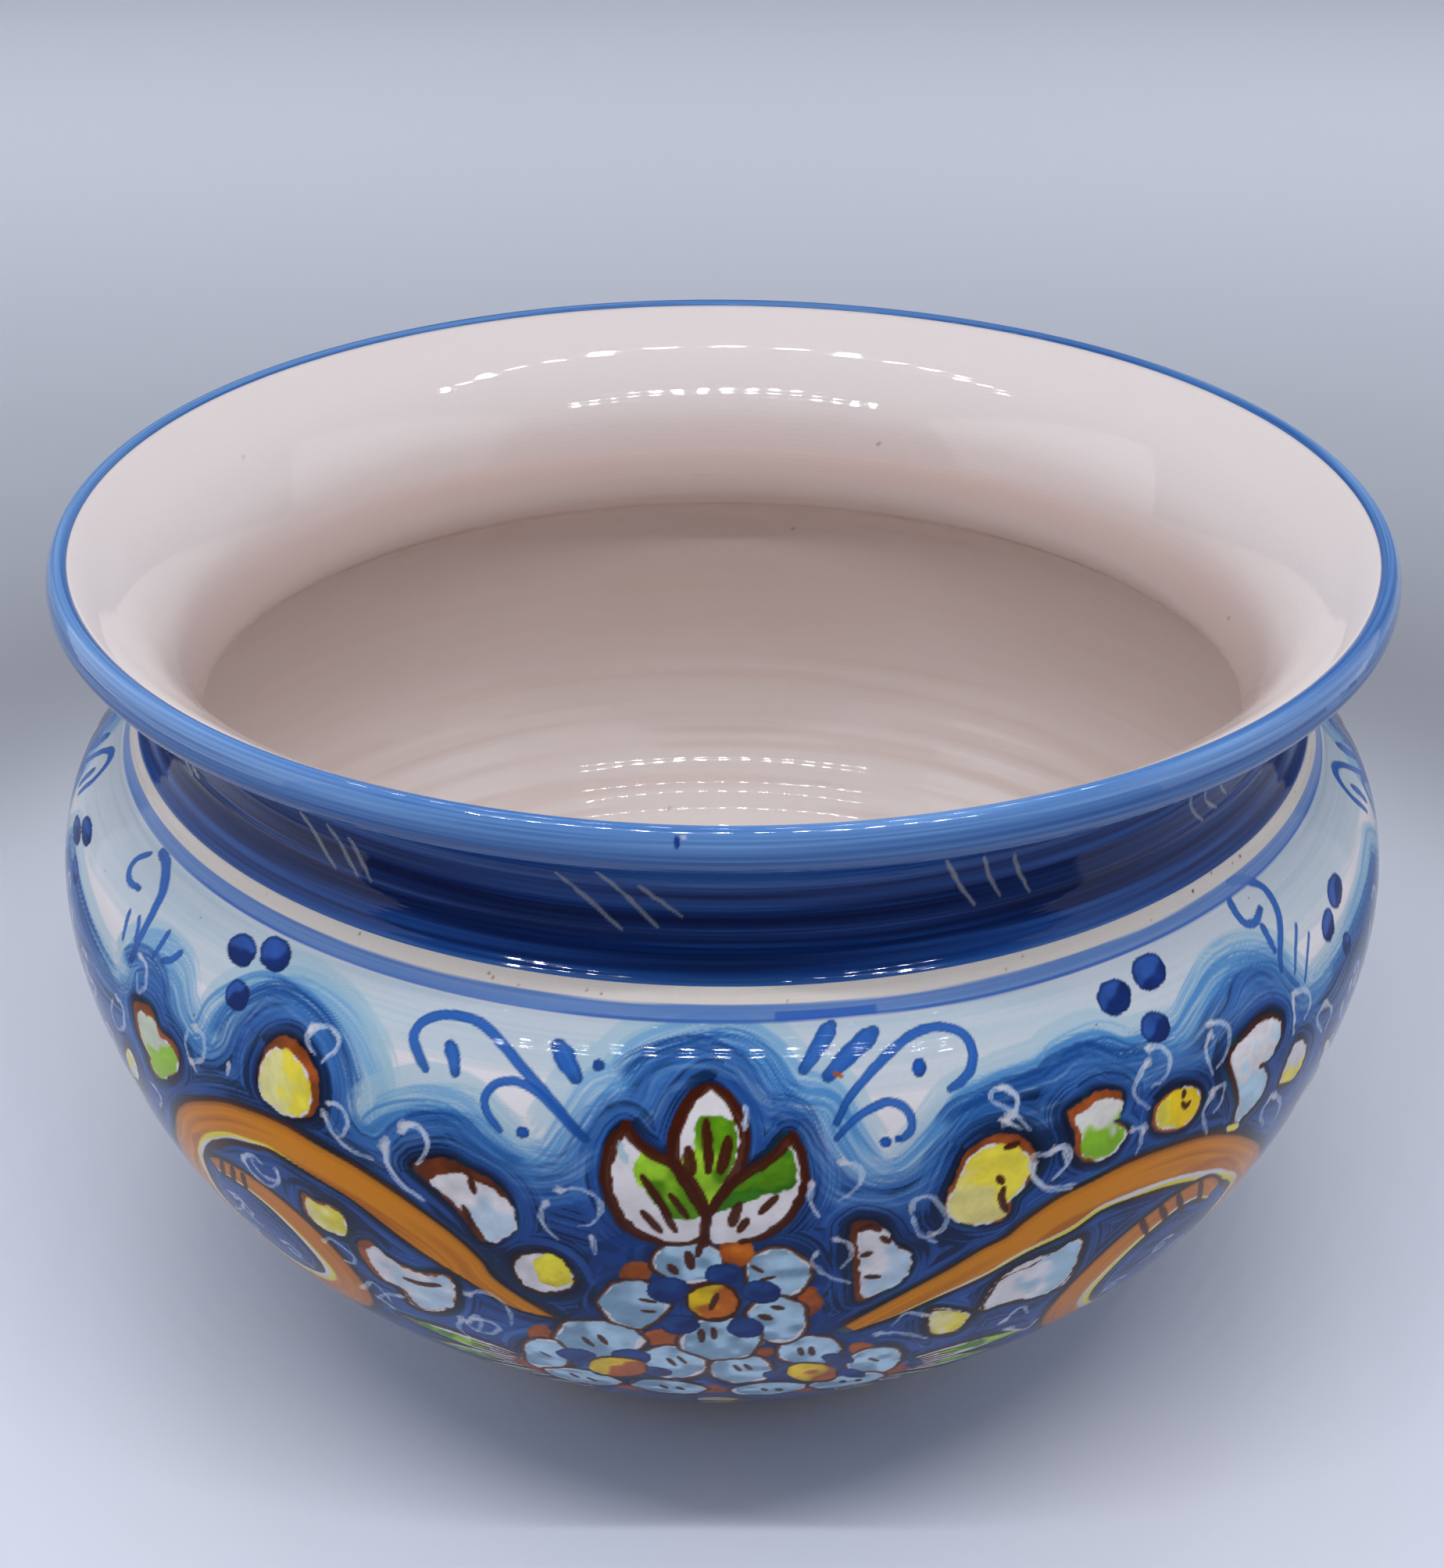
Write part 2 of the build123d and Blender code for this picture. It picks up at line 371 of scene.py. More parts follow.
def from_square(square, pts):
    ox, oy, k = SQUARES[square]
    return at([(ox + x / k, oy + y / k) for x, y in pts])


def radius(s):
    table, arc = SURFACES["belly"]
    return np.interp(s, arc, table[:, 0])


def deg(points):
    """(degrees, distance) points with the angle in radians."""
    p = np.array(points, float)
    p[:, 0] = np.radians(p[:, 0])
    return p


def oval(angle, s, rx, ry, turn=0.0, n=14, wob=0.06, seed=0):
    """An uneven oval on the pot: its middle in degrees and mm, its half sizes in mm."""
    e = ellipse(0, 0, rx, ry, turn, n, wob, seed)
    return np.c_[math.radians(angle) + e[:, 0] / radius(s), s + e[:, 1]]


def beside(line, width):
    """The line moved sideways by width mm, to the left of its run where width is above zero."""
    k = radius(line[:, 1])
    d = np.gradient(line, axis=0)
    dx, dy = d[:, 0] * k, d[:, 1]
    n = np.hypot(dx, dy) + 1e-9
    return np.c_[line[:, 0] - dy / n * width / k, line[:, 1] + dx / n * width]


def ribbon(points):
    """Both edges, left and right of its run, of a band given as (degrees, distance, width)."""
    p = curve(deg(points), 3.0)
    return beside(p[:, :2], p[:, 2] / 2), beside(p[:, :2], -p[:, 2] / 2)


class Hand:
    """Draws one stretch of the pot's ornament: as laid out round the angle 0, or turned to
    another side of the pot, mirrored where flip is -1."""

    def __init__(self, g, turn, flip, squeeze, seed):
        self.g, self.turn, self.flip, self.squeeze, self.seed, self.n = g, turn, flip, squeeze, seed, 0
        self.outlines, self.listing = [], False

    def put(self, p):
        p = np.array(p, float)
        if self.turn:
            t = p[:, 0]
            p[:, 1] += 0.5 * np.sin(5 * t + self.turn)
            p[:, 0] = self.turn + self.flip * (t * self.squeeze + 0.006 * np.sin(9 * t + self.turn))
        return p

    def place(self, square, pts):
        return self.put(from_square(square, pts) if square != "S" else np.array(pts, float))

    def mm(self, square, width):
        return width * 0.215 / SQUARES[square][2] if square != "S" else width * 1.3

    def patch(self, square, pts, colour, outline=False, **k):
        p = self.place(square, pts)
        self.n += 1
        if self.listing:
            if outline:
                self.outlines.append(p)
            return p
        self.g.blob(p, colour, seed=self.seed + self.n % 40, **k)
        return p

    def line(self, square, pts, width, colour, **k):
        self.n += 1
        if self.listing:
            return
        p = self.place(square, pts)
        self.g.brush(p, self.mm(square, width), colour, seed=self.seed + self.n % 50, **k)

    def dash(self, square, pts, width=12, colour=BROWN):
        self.line(square, pts, width, colour, taper=(0.2, 0.25), tip=0.45, streak=0.15, rough=0.12, ink=0.5)

    def bud(self, square, pts, colour, second=None, lean=(0, -1), shift=(-0.4, -0.5), shrink=0.88,
            brown=BARK, dashes=(), wash=0.08, patch2=None):
        """An outlined fruit: a brown wash on one side, a coloured body, black-blue ink round it."""
        p = self.place(square, pts)
        self.n += 1
        if self.listing:
            self.outlines.append(p)
            return
        g, sd = self.g, self.seed + self.n
        if brown is not None:
            g.blob(p, brown, seed=sd, wash=0.2, rough=0.3)
        c = p.mean(0)
        sx = self.flip
        inner = c + (p - c) * shrink + np.array([sx * shift[0] / 145.0, shift[1]])
        g.blob(inner, WHITE, seed=sd + 1, rough=0.45, ink=0.2)
        g.blob(c + (inner - c) * 0.97, colour, seed=sd + 2, rough=0.5, second=second, lean=(lean[0] * sx, lean[1]),
               wash=wash, ink=0.3, alpha=0.94)
        if patch2 is not None:
            q = self.place(square, patch2[0])
            g.blob(q, patch2[1], seed=sd + 3, rough=0.5, wash=0.15)
        for d in dashes:
            self.dash(square, d, {"A": 13, "S": 1.15}.get(square, 20))

    def dot(self, square, cx, cy, rx, ry, turn=0.0, colour=NAVY, second=NAVY2, seed=0):
        p = self.place(square, ellipse(cx, cy, rx, ry, turn, 16, 0.05, seed + self.n))
        self.n += 1
        if self.listing:
            return
        sd = self.seed + self.n
        self.g.blob(p, colour, seed=sd, second=second, lean=(-0.5, 0.75), wash=0.12, rough=0.12, ink=0.6)
        f = self.g.field(p, 1.6)
        if f:
            rows, cols, t, d, along, q = f
            a = 0.5 * step(0.9, 0.2, np.abs(d)) * (d > -0.05)
            self.g.lay(rows, cols, np.array(colour) * 0.8, a)

    def curl(self, square, pts, width=1.15):
        self.n += 1
        if self.listing:
            return
        p = self.place(square, pts)
        sd = self.seed + self.n
        self.g.brush(p, width, CHALK, alpha=0.93, taper=(0.02, 0.6), tip=0.35, rough=0.55, streak=0.45,
                     seed=sd, soft=0.13, ink=0.4, dry=0.45)
        a, b = p[0], p[1]
        q = np.array([a + (b - a) * -0.12, a + (b - a) * 0.35])
        self.g.brush(q, width * 1.7, (222, 212, 214), alpha=0.85, taper=(0.3, 0.5), rough=0.8, streak=0.5,
                     seed=sd + 1, smooth=False, dry=0.6)


def tendrils(h):
    """Medium blue sprigs, ticks and dots on the white."""
    middle = h.squeeze != 1.0
    T = dict(colour=TENDRIL, alpha=0.95, pool=0.38, streak=0.12, rough=0.1, ink=0.5)

    def t(square, pts, width, tip=0.55, taper=(0.05, 0.35)):
        h.line(square, pts, width, T["colour"], alpha=T["alpha"], pool=T["pool"], streak=T["streak"],
               rough=T["rough"], ink=T["ink"], tip=tip, taper=taper)

    t("A", [(110, 168), (92, 130), (84, 95), (108, 62), (160, 50), (225, 65), (275, 110), (325, 170),
            (380, 230), (430, 290), (462, 322)], 17)
    t("A", [(272, 302), (245, 265), (240, 230), (265, 200), (310, 196), (355, 220), (400, 265),
            (430, 300), (455, 322)], 14)
    t("A", [(163, 116), (170, 140), (175, 175)], 22, 0.6, (0.1, 0.6))
    t("A", [(400, 118), (418, 150), (438, 187)], 34, 0.45, (0.25, 0.7))
    h.dot("A", 488, 160, 14, 13, colour=NAVY2, second=TENDRIL)
    h.dot("A", 322, 307, 15, 13, colour=NAVY2, second=TENDRIL)
    t("A", [(1256, 212), (1285, 190), (1302, 165), (1303, 122), (1278, 88), (1225, 76), (1170, 95),
            (1115, 140), (1065, 195), (1030, 240), (1008, 285)], 16)
    t("A", [(1150, 322), (1168, 305), (1173, 285), (1158, 254), (1120, 240), (1070, 262), (1035, 290),
            (1008, 320)], 14)
    h.dot("A", 1188, 165, 15, 21, colour=NAVY2, second=TENDRIL)
    h.dot("A", 1115, 328, 14, 11, colour=NAVY2, second=TENDRIL)
    h.dot("A", 1143, 321, 8, 8, colour=TENDRIL, second=TENDRIL)
    t("A", [(997, 72), (970, 115), (936, 170)], 26, 0.4, (0.1, 0.5))
    t("A", [(1088, 86), (1040, 132), (988, 184)], 30, 0.4, (0.1, 0.5))
    h.line("A", [(1004, 178), (1018, 184)], 7, BLOT, tip=0.8)
    if middle:
        return
    # the taller sprig at the left and its ticks
    t("B", [(432, 178), (450, 215), (449, 265), (440, 320), (425, 360), (390, 430), (355, 500), (320, 585)],
      36, 0.5, (0.05, 0.6))
    t("B", [(392, 186), (345, 202), (314, 242), (314, 290), (350, 318)], 24, 0.6)
    t("B", [(314, 402), (300, 450), (288, 508)], 19)
    t("B", [(350, 424), (345, 470), (333, 512)], 18)
    t("B", [(462, 482), (432, 530), (402, 576)], 20)
    t("B", [(508, 560), (475, 585), (436, 592)], 22)
    # and at the right
    t("E", [(900, 212), (960, 204), (1030, 226), (1075, 280), (1100, 340), (1108, 420), (1106, 500),
            (1112, 560)], 30, 0.5, (0.05, 0.6))
    t("E", [(908, 278), (930, 330), (970, 376), (1010, 368), (1030, 316)], 28, 0.55)
    t("E", [(1036, 385), (1060, 430), (1084, 484)], 26)
    t("E", [(1170, 378), (1168, 480), (1165, 572)], 14)
    t("E", [(1220, 412), (1214, 500), (1204, 604)], 13)
    # groups of three berries
    for sq, x, y, rx, ry in (("B", 738, 550, 55, 64), ("B", 865, 567, 60, 68), ("B", 720, 722, 46, 60),
                             ("B", 114, 98, 15, 58), ("B", 150, 100, 20, 58), ("B", 108, 248, 11, 55),
                             ("E", 452, 668, 68, 72), ("E", 590, 566, 68, 74), ("E", 615, 785, 58, 64),
                             ("E", 1322, 248, 30, 70), ("E", 1295, 383, 25, 65), ("E", 1368, 455, 17, 47)):
        h.dot(sq, x, y, rx, ry, 0.0)


def scroll(h, outer, inner, hand, lining, first, second, ink_mm):
    """One painted band between two edges that run from its tail over its head to its tip.
    lining is the width in mm, along the band, of the two thin colours inside the curve."""
    g = h.g
    oc, ic = curve(h.put(outer), 0.8), curve(h.put(inner), 0.8)
    run = lengths(np.c_[ic[:, 0] * 140, ic[:, 1]])
    wide = np.interp(run / run[-1], *np.array(lining, float).T)
    edge = beside(ic, hand * h.flip * wide)
    if h.listing:
        h.outlines.append(np.r_[oc, edge[::-1]][::4])
        return
    rows, cols, t, far, along, side, total = g.near(ic, 5.5)
    w = np.interp(along / total, *np.array(lining, float).T)
    k = far / np.maximum(w, 0.05)
    a = step(-0.5, 0.0, side * hand * h.flip) * step(w + 0.14, w - 0.14, far) * step(0.15, 0.4, w)
    m = step(0.38, 0.62, k + 0.55 * (noise(along / 13.0, 0 * along + 3, h.seed) - 0.5))[..., None]
    n = noise(far / 0.4, along / 12.0, h.seed + 1)[..., None]
    g.lay(rows, cols, (np.array(first) * (1 - m) + np.array(second) * m) * (0.93 + 0.1 * n), a, 0.4)
    # ink beyond the lining
    thick = np.interp(along / total, *np.array(ink_mm, float).T)
    wob = thick * (0.75 + 0.5 * noise(along / 3.1, 0 * along, h.seed + 2))
    a = 0.92 * step(-0.2, 0.3, side * hand * h.flip) * step(wob / 2 + 0.16, wob / 2 - 0.16, np.abs(far - w - wob * 0.35))
    tint = step(0.4, 0.7, noise(along / 9.0, 0 * along + 6, h.seed + 3))[..., None]
    g.lay(rows, cols, np.array(BROWN) * (1 - tint) + np.array(SOOT) * tint, a, 0.6)
    # the band
    poly = np.r_[oc, ic[::-1]]
    rows, cols, t, d, along, p = g.field(poly, 1.0, smooth=False)
    near = g.near(oc, 16.0)
    full = np.zeros(g.ink.shape, np.float32) + 9.0
    way = np.zeros(g.ink.shape, np.float32)
    full[np.ix_(near[0], near[1])] = near[3]
    way[np.ix_(near[0], near[1])] = near[4]
    off, go = full[np.ix_(rows, cols)], way[np.ix_(rows, cols)]
    m = noise(off / 0.36, go / 30.0, h.seed + 7)
    m2 = noise(off / 1.5, go / 44.0, h.seed + 8)
    m3 = noise(off / 6.0, go / 34.0, h.seed + 9)
    k = np.clip(0.42 + 0.8 * (m - 0.5) + 0.9 * (m2 - 0.5) + 0.9 * (m3 - 0.5), 0, 1)[..., None]
    c_ = np.array(ORANGE) * (1 - k) + np.array(ORANGE2) * k
    c_ = c_ * (1 - 0.22 * step(1.7, 0.2, off)[..., None])
    g.lay(rows, cols, c_, step(-0.16, 0.16, d + 0.3 * (m - 0.5)), 0.55)
    # a dark line outside
    rows, cols, t, far, along, side, total = g.near(oc, 2.4)
    wet = 0.75 + 0.9 * noise(along / 5.0, 0 * along, h.seed + 4)
    a = 0.9 * step(wet / 2 + 0.2, wet / 2 - 0.15, np.abs(far - 0.25)) * step(0.5, 0.1, side * hand * h.flip)
    tint = step(0.35, 0.65, noise(along / 12.0, 0 * along + 6, h.seed + 5))[..., None]
    g.lay(rows, cols, np.array(BROWN) * (1 - tint) + np.array(SOOT) * tint, a, 0.6)


def scrolls(h):
    """The two broad orange scrolls. Each is one band: it rises from the flowers, turns over its
    head, down the outside and round, and ends as a slim tip inside."""
    top = from_square("C", [(1350, 780), (1160, 660), (1100, 588), (1000, 498), (850, 390), (700, 290), (560, 209),
                            (450, 144), (340, 99), (250, 74), (160, 74), (124, 92), (112, 118)])
    low = np.r_[from_square("A", [(395, 712), (300, 688), (200, 628), (100, 566)]),
                from_square("C", [(700, 405), (600, 342), (560, 318)]),
                from_square("B", [(850, 1300), (760, 1265), (680, 1240), (625, 1239), (590, 1254),
                                  (573, 1290), (575, 1330)])]
    left, right = ribbon([(-51.9, 112, 11.5), (-52.4, 104, 12.5), (-51.5, 95, 13.5), (-48.5, 86.5, 13),
                          (-43.5, 82.5, 12), (-38.5, 84.5, 11), (-34.6, 91, 9.8), (-33.2, 100, 9), (-33.9, 109, 8.8),
                          (-35.7, 116, 8.4), (-38.3, 121, 7.4), (-41.4, 123.2, 6.2), (-44.2, 122.6, 5),
                          (-46, 120.8, 3.6)])
    top = np.r_[top, deg([(-50.9, 124.6), (-52.4, 119), (-53.6, 113.8)])]
    scroll(h, np.r_[top, right[1:]], np.r_[low, left[1:]], 1,
           [(0, 0), (0.26, 0), (0.32, 0.8), (0.37, 1.6), (0.42, 2.2), (0.47, 2.0), (0.6, 2.0), (0.74, 3.2), (0.82, 3.0),
            (0.92, 1.2), (1, 0.5)],
           YELLOW, WHITE, [(0, 0.7), (0.2, 0.9), (0.36, 1.6), (0.43, 2.1), (0.5, 1.4), (0.8, 0.9), (1, 0.9)])
    top = from_square("D", [(20, 745), (120, 690), (250, 620), (380, 550), (480, 490), (560, 450), (620, 400),
                            (720, 330), (830, 274), (950, 214), (1080, 164), (1200, 130), (1290, 129), (1350, 150)])
    low = from_square("D", [(60, 752), (200, 700), (330, 640), (480, 570), (620, 490), (760, 420), (860, 350),
                            (980, 300), (1100, 260), (1200, 239), (1250, 240), (1282, 262)])
    left, right = ribbon([(52.3, 106, 14.5), (52.9, 96, 14.5), (51.2, 85, 13.5), (46.8, 76, 12.2), (41.5, 72, 11),
                          (36.5, 74.5, 10), (32.9, 84, 9.2), (31.5, 95, 8.8), (32.3, 105, 8.6), (34.5, 113.6, 8.2),
                          (37.4, 118.8, 7.4), (40.3, 121, 6.4), (43.2, 119.4, 5.4), (45.4, 114.5, 4)])
    top = np.r_[top, deg([(52.2, 116.4), (54.2, 110.4)])]
    scroll(h, np.r_[top, left[1:]], np.r_[low, right[1:]], -1,
           [(0, 0), (0.05, 0.5), (0.15, 1.3), (0.3, 2.2), (0.4, 2.8), (0.47, 2.4), (0.6, 2.0), (0.74, 3.0), (0.82, 3.0),
            (0.92, 1.3), (1, 0.8)],
           WHITE if h.seed % 2 else YELLOW, YELLOW if h.seed % 2 else WHITE,
           [(0, 0.8), (0.2, 1.0), (0.36, 1.3), (0.45, 2.0), (0.55, 1.3), (0.8, 0.9), (1, 1.2)])
    for sq, a, b in (("C", (262, 268), (268, 318)), ("C", (296, 288), (302, 338)), ("C", (330, 312), (340, 356)),
                     ("D", (1172, 275), (1166, 342)), ("D", (1100, 318), (1112, 372)), ("D", (1046, 352), (1062, 400)),
                     ("D", (984, 396), (1002, 440))):
        h.dash(sq, [a, b], 20)


def sprig(h):
    """Three green and white leaves over the middle flower."""
    B = dict(colour=BROWN)
    h.patch("A", [(545, 300), (515, 340), (503, 400), (518, 460), (550, 510), (590, 535), (640, 548), (700, 550),
                  (725, 492), (715, 460), (690, 410), (650, 370), (610, 355), (570, 330)], WHITE, outline=True, wash=0.04)
    h.patch("A", [(905, 318), (930, 370), (935, 420), (915, 470), (880, 510), (840, 535), (780, 545), (735, 545),
                  (730, 482), (770, 430), (820, 390), (870, 360)], WHITE, outline=True, wash=0.04)
    h.patch("A", [(570, 370), (588, 352), (612, 360), (650, 382), (690, 428), (716, 470), (702, 492), (652, 492),
                  (600, 452), (570, 402)], GREEN, second=LIME, lean=(-0.2, 0.5), wash=0.16, rough=0.5, ink=0.4)
    h.patch("A", [(745, 462), (790, 412), (850, 376), (903, 344), (924, 390), (905, 428), (850, 446), (790, 468),
                  (748, 482)], GREEN, second=GREEN2, lean=(0.3, -0.5), wash=0.16, rough=0.5, ink=0.4)
    h.patch("A", [(733, 206), (700, 235), (670, 285), (655, 350), (668, 400), (700, 450), (725, 490), (752, 450),
                  (782, 410), (802, 370), (808, 320), (798, 278), (770, 235)], WHITE, outline=True, wash=0.04)
    h.patch("A", [(704, 282), (730, 268), (762, 272), (788, 300), (790, 350), (762, 420), (728, 472), (700, 422),
                  (664, 372), (690, 352)], GREEN, second=LIME, lean=(-0.4, -0.6), wash=0.16, rough=0.5, ink=0.4)
    # outlines
    for pts, w in (([(722, 208), (695, 228), (668, 270), (652, 320), (652, 362), (668, 400), (694, 440), (722, 492)], 19),
                   ([(742, 208), (770, 232), (797, 275), (808, 320), (799, 370), (780, 410), (750, 450), (727, 490)], 18),
                   ([(548, 290), (520, 330), (503, 385), (510, 440), (540, 500), (582, 532), (622, 546)], 20),
                   ([(548, 290), (572, 330), (610, 356), (652, 376), (690, 412), (714, 458), (726, 500)], 17),
                   ([(590, 536), (640, 550), (690, 548), (714, 535)], 10),
                   ([(728, 486), (768, 432), (818, 392), (868, 362), (912, 312)], 18),
                   ([(912, 312), (934, 366), (938, 420), (918, 470), (882, 512), (842, 536), (800, 546)], 16),
                   ([(727, 490), (720, 520), (722, 552)], 16)):
        h.line("A", pts, w, BROWN, taper=(0.08, 0.12), rough=0.25, streak=0.15, tip=0.5, ink=0.7)
    for d, w in (([(683, 344), (692, 394)], 19), ([(722, 284), (727, 336), (728, 392)], 16), ([(772, 322), (764, 360), (754, 392)], 18),
                 ([(584, 404), (612, 444), (642, 488)], 15), ([(645, 444), (664, 468), (682, 492)], 13),
                 ([(584, 480), (602, 500), (622, 522)], 15), ([(626, 470), (640, 496), (656, 522)], 13),
                 ([(796, 464), (786, 486), (780, 508)], 17), ([(877, 448), (860, 464), (842, 482)], 13),
                 ([(812, 498), (804, 510), (795, 522)], 14)):
        h.dash("A", d, w)
    h.line("A", [(806, 250), (812, 275), (808, 300)], 12, (196, 214, 236), streak=0.5, rough=0.5, dry=0.5)
    h.line("A", [(532, 330), (540, 352), (548, 372)], 14, CELESTE, streak=0.4, rough=0.4)


def petal(h, cx, cy, rx, ry, turn=0.0, sq="A"):
    rx, ry = rx * 1.1, ry * 1.14
    if sq == "S":
        e, inner = oval(cx, cy, rx, ry, turn, 14, 0.07, h.n), oval(cx, cy, rx * 0.92, ry * 0.92, turn, 12, 0.12, h.n + 3)
    else:
        e, inner = ellipse(cx, cy, rx, ry, turn, 14, 0.07, h.n), ellipse(cx, cy, rx * 0.93, ry * 0.91, turn, 12, 0.12, h.n + 3)
    h.patch(sq, e, WHITE, outline=True, wash=0.03, rough=0.2)
    if h.listing:
        return
    h.patch(sq, inner, PETAL, wash=0.1, rough=0.45, second=(176, 206, 224), lean=(0.3, 0.4), ink=0.3)
    q = np.r_[e, e[:2]]
    h.line(sq, q, 0.78 if sq == "S" else 8.5, BROWN, rough=0.4, streak=0.25, taper=(0.05, 0.05), tip=0.5, ink=0.6, alpha=0.93)


def rosettes(h):
    """The bunch of flowers low on the front."""
    # a deep blue bed
    h.patch("A", [(470, 560), (600, 520), (740, 545), (900, 540), (985, 600), (985, 700), (1120, 770), (1190, 815),
                  (900, 820), (520, 820), (330, 800), (320, 770), (420, 715), (480, 660)],
            DEEP, outline=False, wash=0.2, alpha=0.7)
    # blots of orange between
    for x, y, rx, ry in ((570, 612, 38, 24), (948, 676, 29, 31), (625, 755, 42, 17), (838, 788, 34, 13), (360, 746, 26, 21),
                         (382, 818, 38, 13), (1068, 780, 33, 14)):
        h.patch("A", ellipse(x, y, rx, ry, 0, 12, 0.12, int(x)), BLOT, wash=0.2, rough=0.3, second=RUST, lean=(0.4, -0.4), ink=0.4)
    for a, d, rx, ry in ((-0.9, 76.5, 4.2, 4.6), (15.8, 79.5, 4.0, 5.0), (-17.2, 80.5, 4.6, 4.4), (8.6, 70.5, 3.4, 3.4), (-8.6, 72, 3.6, 3.4)):
        h.patch("S", oval(a, d, rx, ry, 0, 12, 0.12, int(d)), BLOT, wash=0.2, rough=0.3, second=RUST, lean=(0.4, -0.4), ink=0.4)
    # the lower pair
    for c in ((485, 757, 95, 38, 0.05), (375, 790, 52, 28, 0.2), (650, 808, 70, 32, 0.12),
              (950, 782, 67, 30, -0.05), (800, 822, 64, 29, 0.0), (1090, 805, 60, 26, -0.2)):
        petal(h, *c)
    for c in ((-13.0, 77.6, 8.2, 6.6, 0.5), (-4.7, 77.0, 7.6, 6.6, -0.35), (4.6, 75.4, 7.4, 6.4, 0.4), (12.0, 76.0, 7.8, 6.6, -0.5)):
        petal(h, *c, sq="S")
    h.patch("S", oval(-0.2, 55, 5.2, 9.5, 0.05, 12, 0.05, 3), BROWN, rough=0.2, outline=True)
    h.patch("S", oval(-0.2, 55.2, 4.5, 8.6, 0.05, 12, 0.05, 3), WHITE, second=YELLOW, lean=(0.6, 0.5), rough=0.3)
    for x, y, rx, ry in ((560, 795, 44, 16), (440, 792, 46, 14), (612, 828, 38, 10), (1010, 801, 36, 12), (880, 838, 34, 11),
                         (1040, 832, 32, 10), (500, 830, 26, 8)):
        h.dot("A", x, y, rx, ry, 0.1, colour=NAVY, second=DEEP)
    for x, y, rx, ry in ((532, 818, 62, 20), (955, 830, 53, 19)):
        h.patch("A", ellipse(x, y, rx + 6, ry + 4, 0.05, 14, 0.05, 5), BROWN, rough=0.15)
        h.patch("A", ellipse(x, y, rx, ry, 0.05, 14, 0.06, 6), YELLOW2, second=BLOT, lean=(0.9, -0.5), wash=0.12, rough=0.25, ink=0.6)
    # the main flower
    for c in ((685, 590, 75, 42, 0.1), (880, 615, 68, 52, 0.1), (565, 680, 72, 48, 0.05), (878, 715, 63, 47, -0.1),
              (755, 757, 84, 43, 0.0)):
        petal(h, *c)
    h.patch("A", ellipse(790, 562, 40, 36, 0.3, 12, 0.08, 9), BLOT, wash=0.2, rough=0.4, second=(198, 104, 22), lean=(0.5, 0.3), ink=0.5)
    for x, y, rx, ry in ((757, 617, 38, 22), (640, 650, 47, 29), (842, 655, 44, 26), (665, 726, 44, 22), (808, 733, 40, 23)):
        h.dot("A", x, y, rx, ry, 0.05, colour=NAVY, second=(24, 66, 128))
    h.patch("A", ellipse(739, 676, 62, 44, 0.05, 16, 0.04, 2), BROWN, rough=0.15)
    h.patch("A", ellipse(739, 676, 54, 37, 0.05, 16, 0.05, 4), (204, 106, 20), second=YELLOW2, lean=(-0.9, 0.7), wash=0.12, rough=0.3, ink=0.7)
    for d, w in (([(733, 692), (740, 676), (747, 660)], 11), ([(645, 598), (656, 613)], 17), ([(684, 570), (688, 586), (690, 602)], 16),
                 ([(713, 548), (704, 576)], 12), ([(823, 599), (846, 611)], 9), ([(843, 629), (871, 622)], 9),
                 ([(842, 707), (862, 713)], 15), ([(869, 687), (889, 691)], 13), ([(712, 738), (713, 763)], 12),
                 ([(738, 734), (741, 756)], 11), ([(579, 671), (612, 677)], 9), ([(584, 696), (611, 698)], 9),
                 ([(455, 755), (475, 772)], 12), ([(490, 750), (505, 768)], 12), ([(640, 800), (655, 815)], 10),
                 ([(662, 796), (678, 810)], 9), ([(928, 778), (932, 792)], 11), ([(952, 776), (955, 792)], 11),
                 ([(785, 815), (797, 827)], 9), ([(808, 813), (820, 824)], 9), ([(1080, 800), (1098, 806)], 8),
                 ([(362, 786), (382, 796)], 8)):
        h.dash("A", d, w)
    for a, d in ((-13.8, 78.5), (-12.2, 77.0), (-5.4, 77.6), (-3.9, 76.8), (4.0, 75.4), (5.4, 74.4), (11.4, 76.6), (13.0, 75.4)):
        h.dash("S", deg([(a, d + 1.4), (a + 0.4, d - 1.4)]), 1.1)


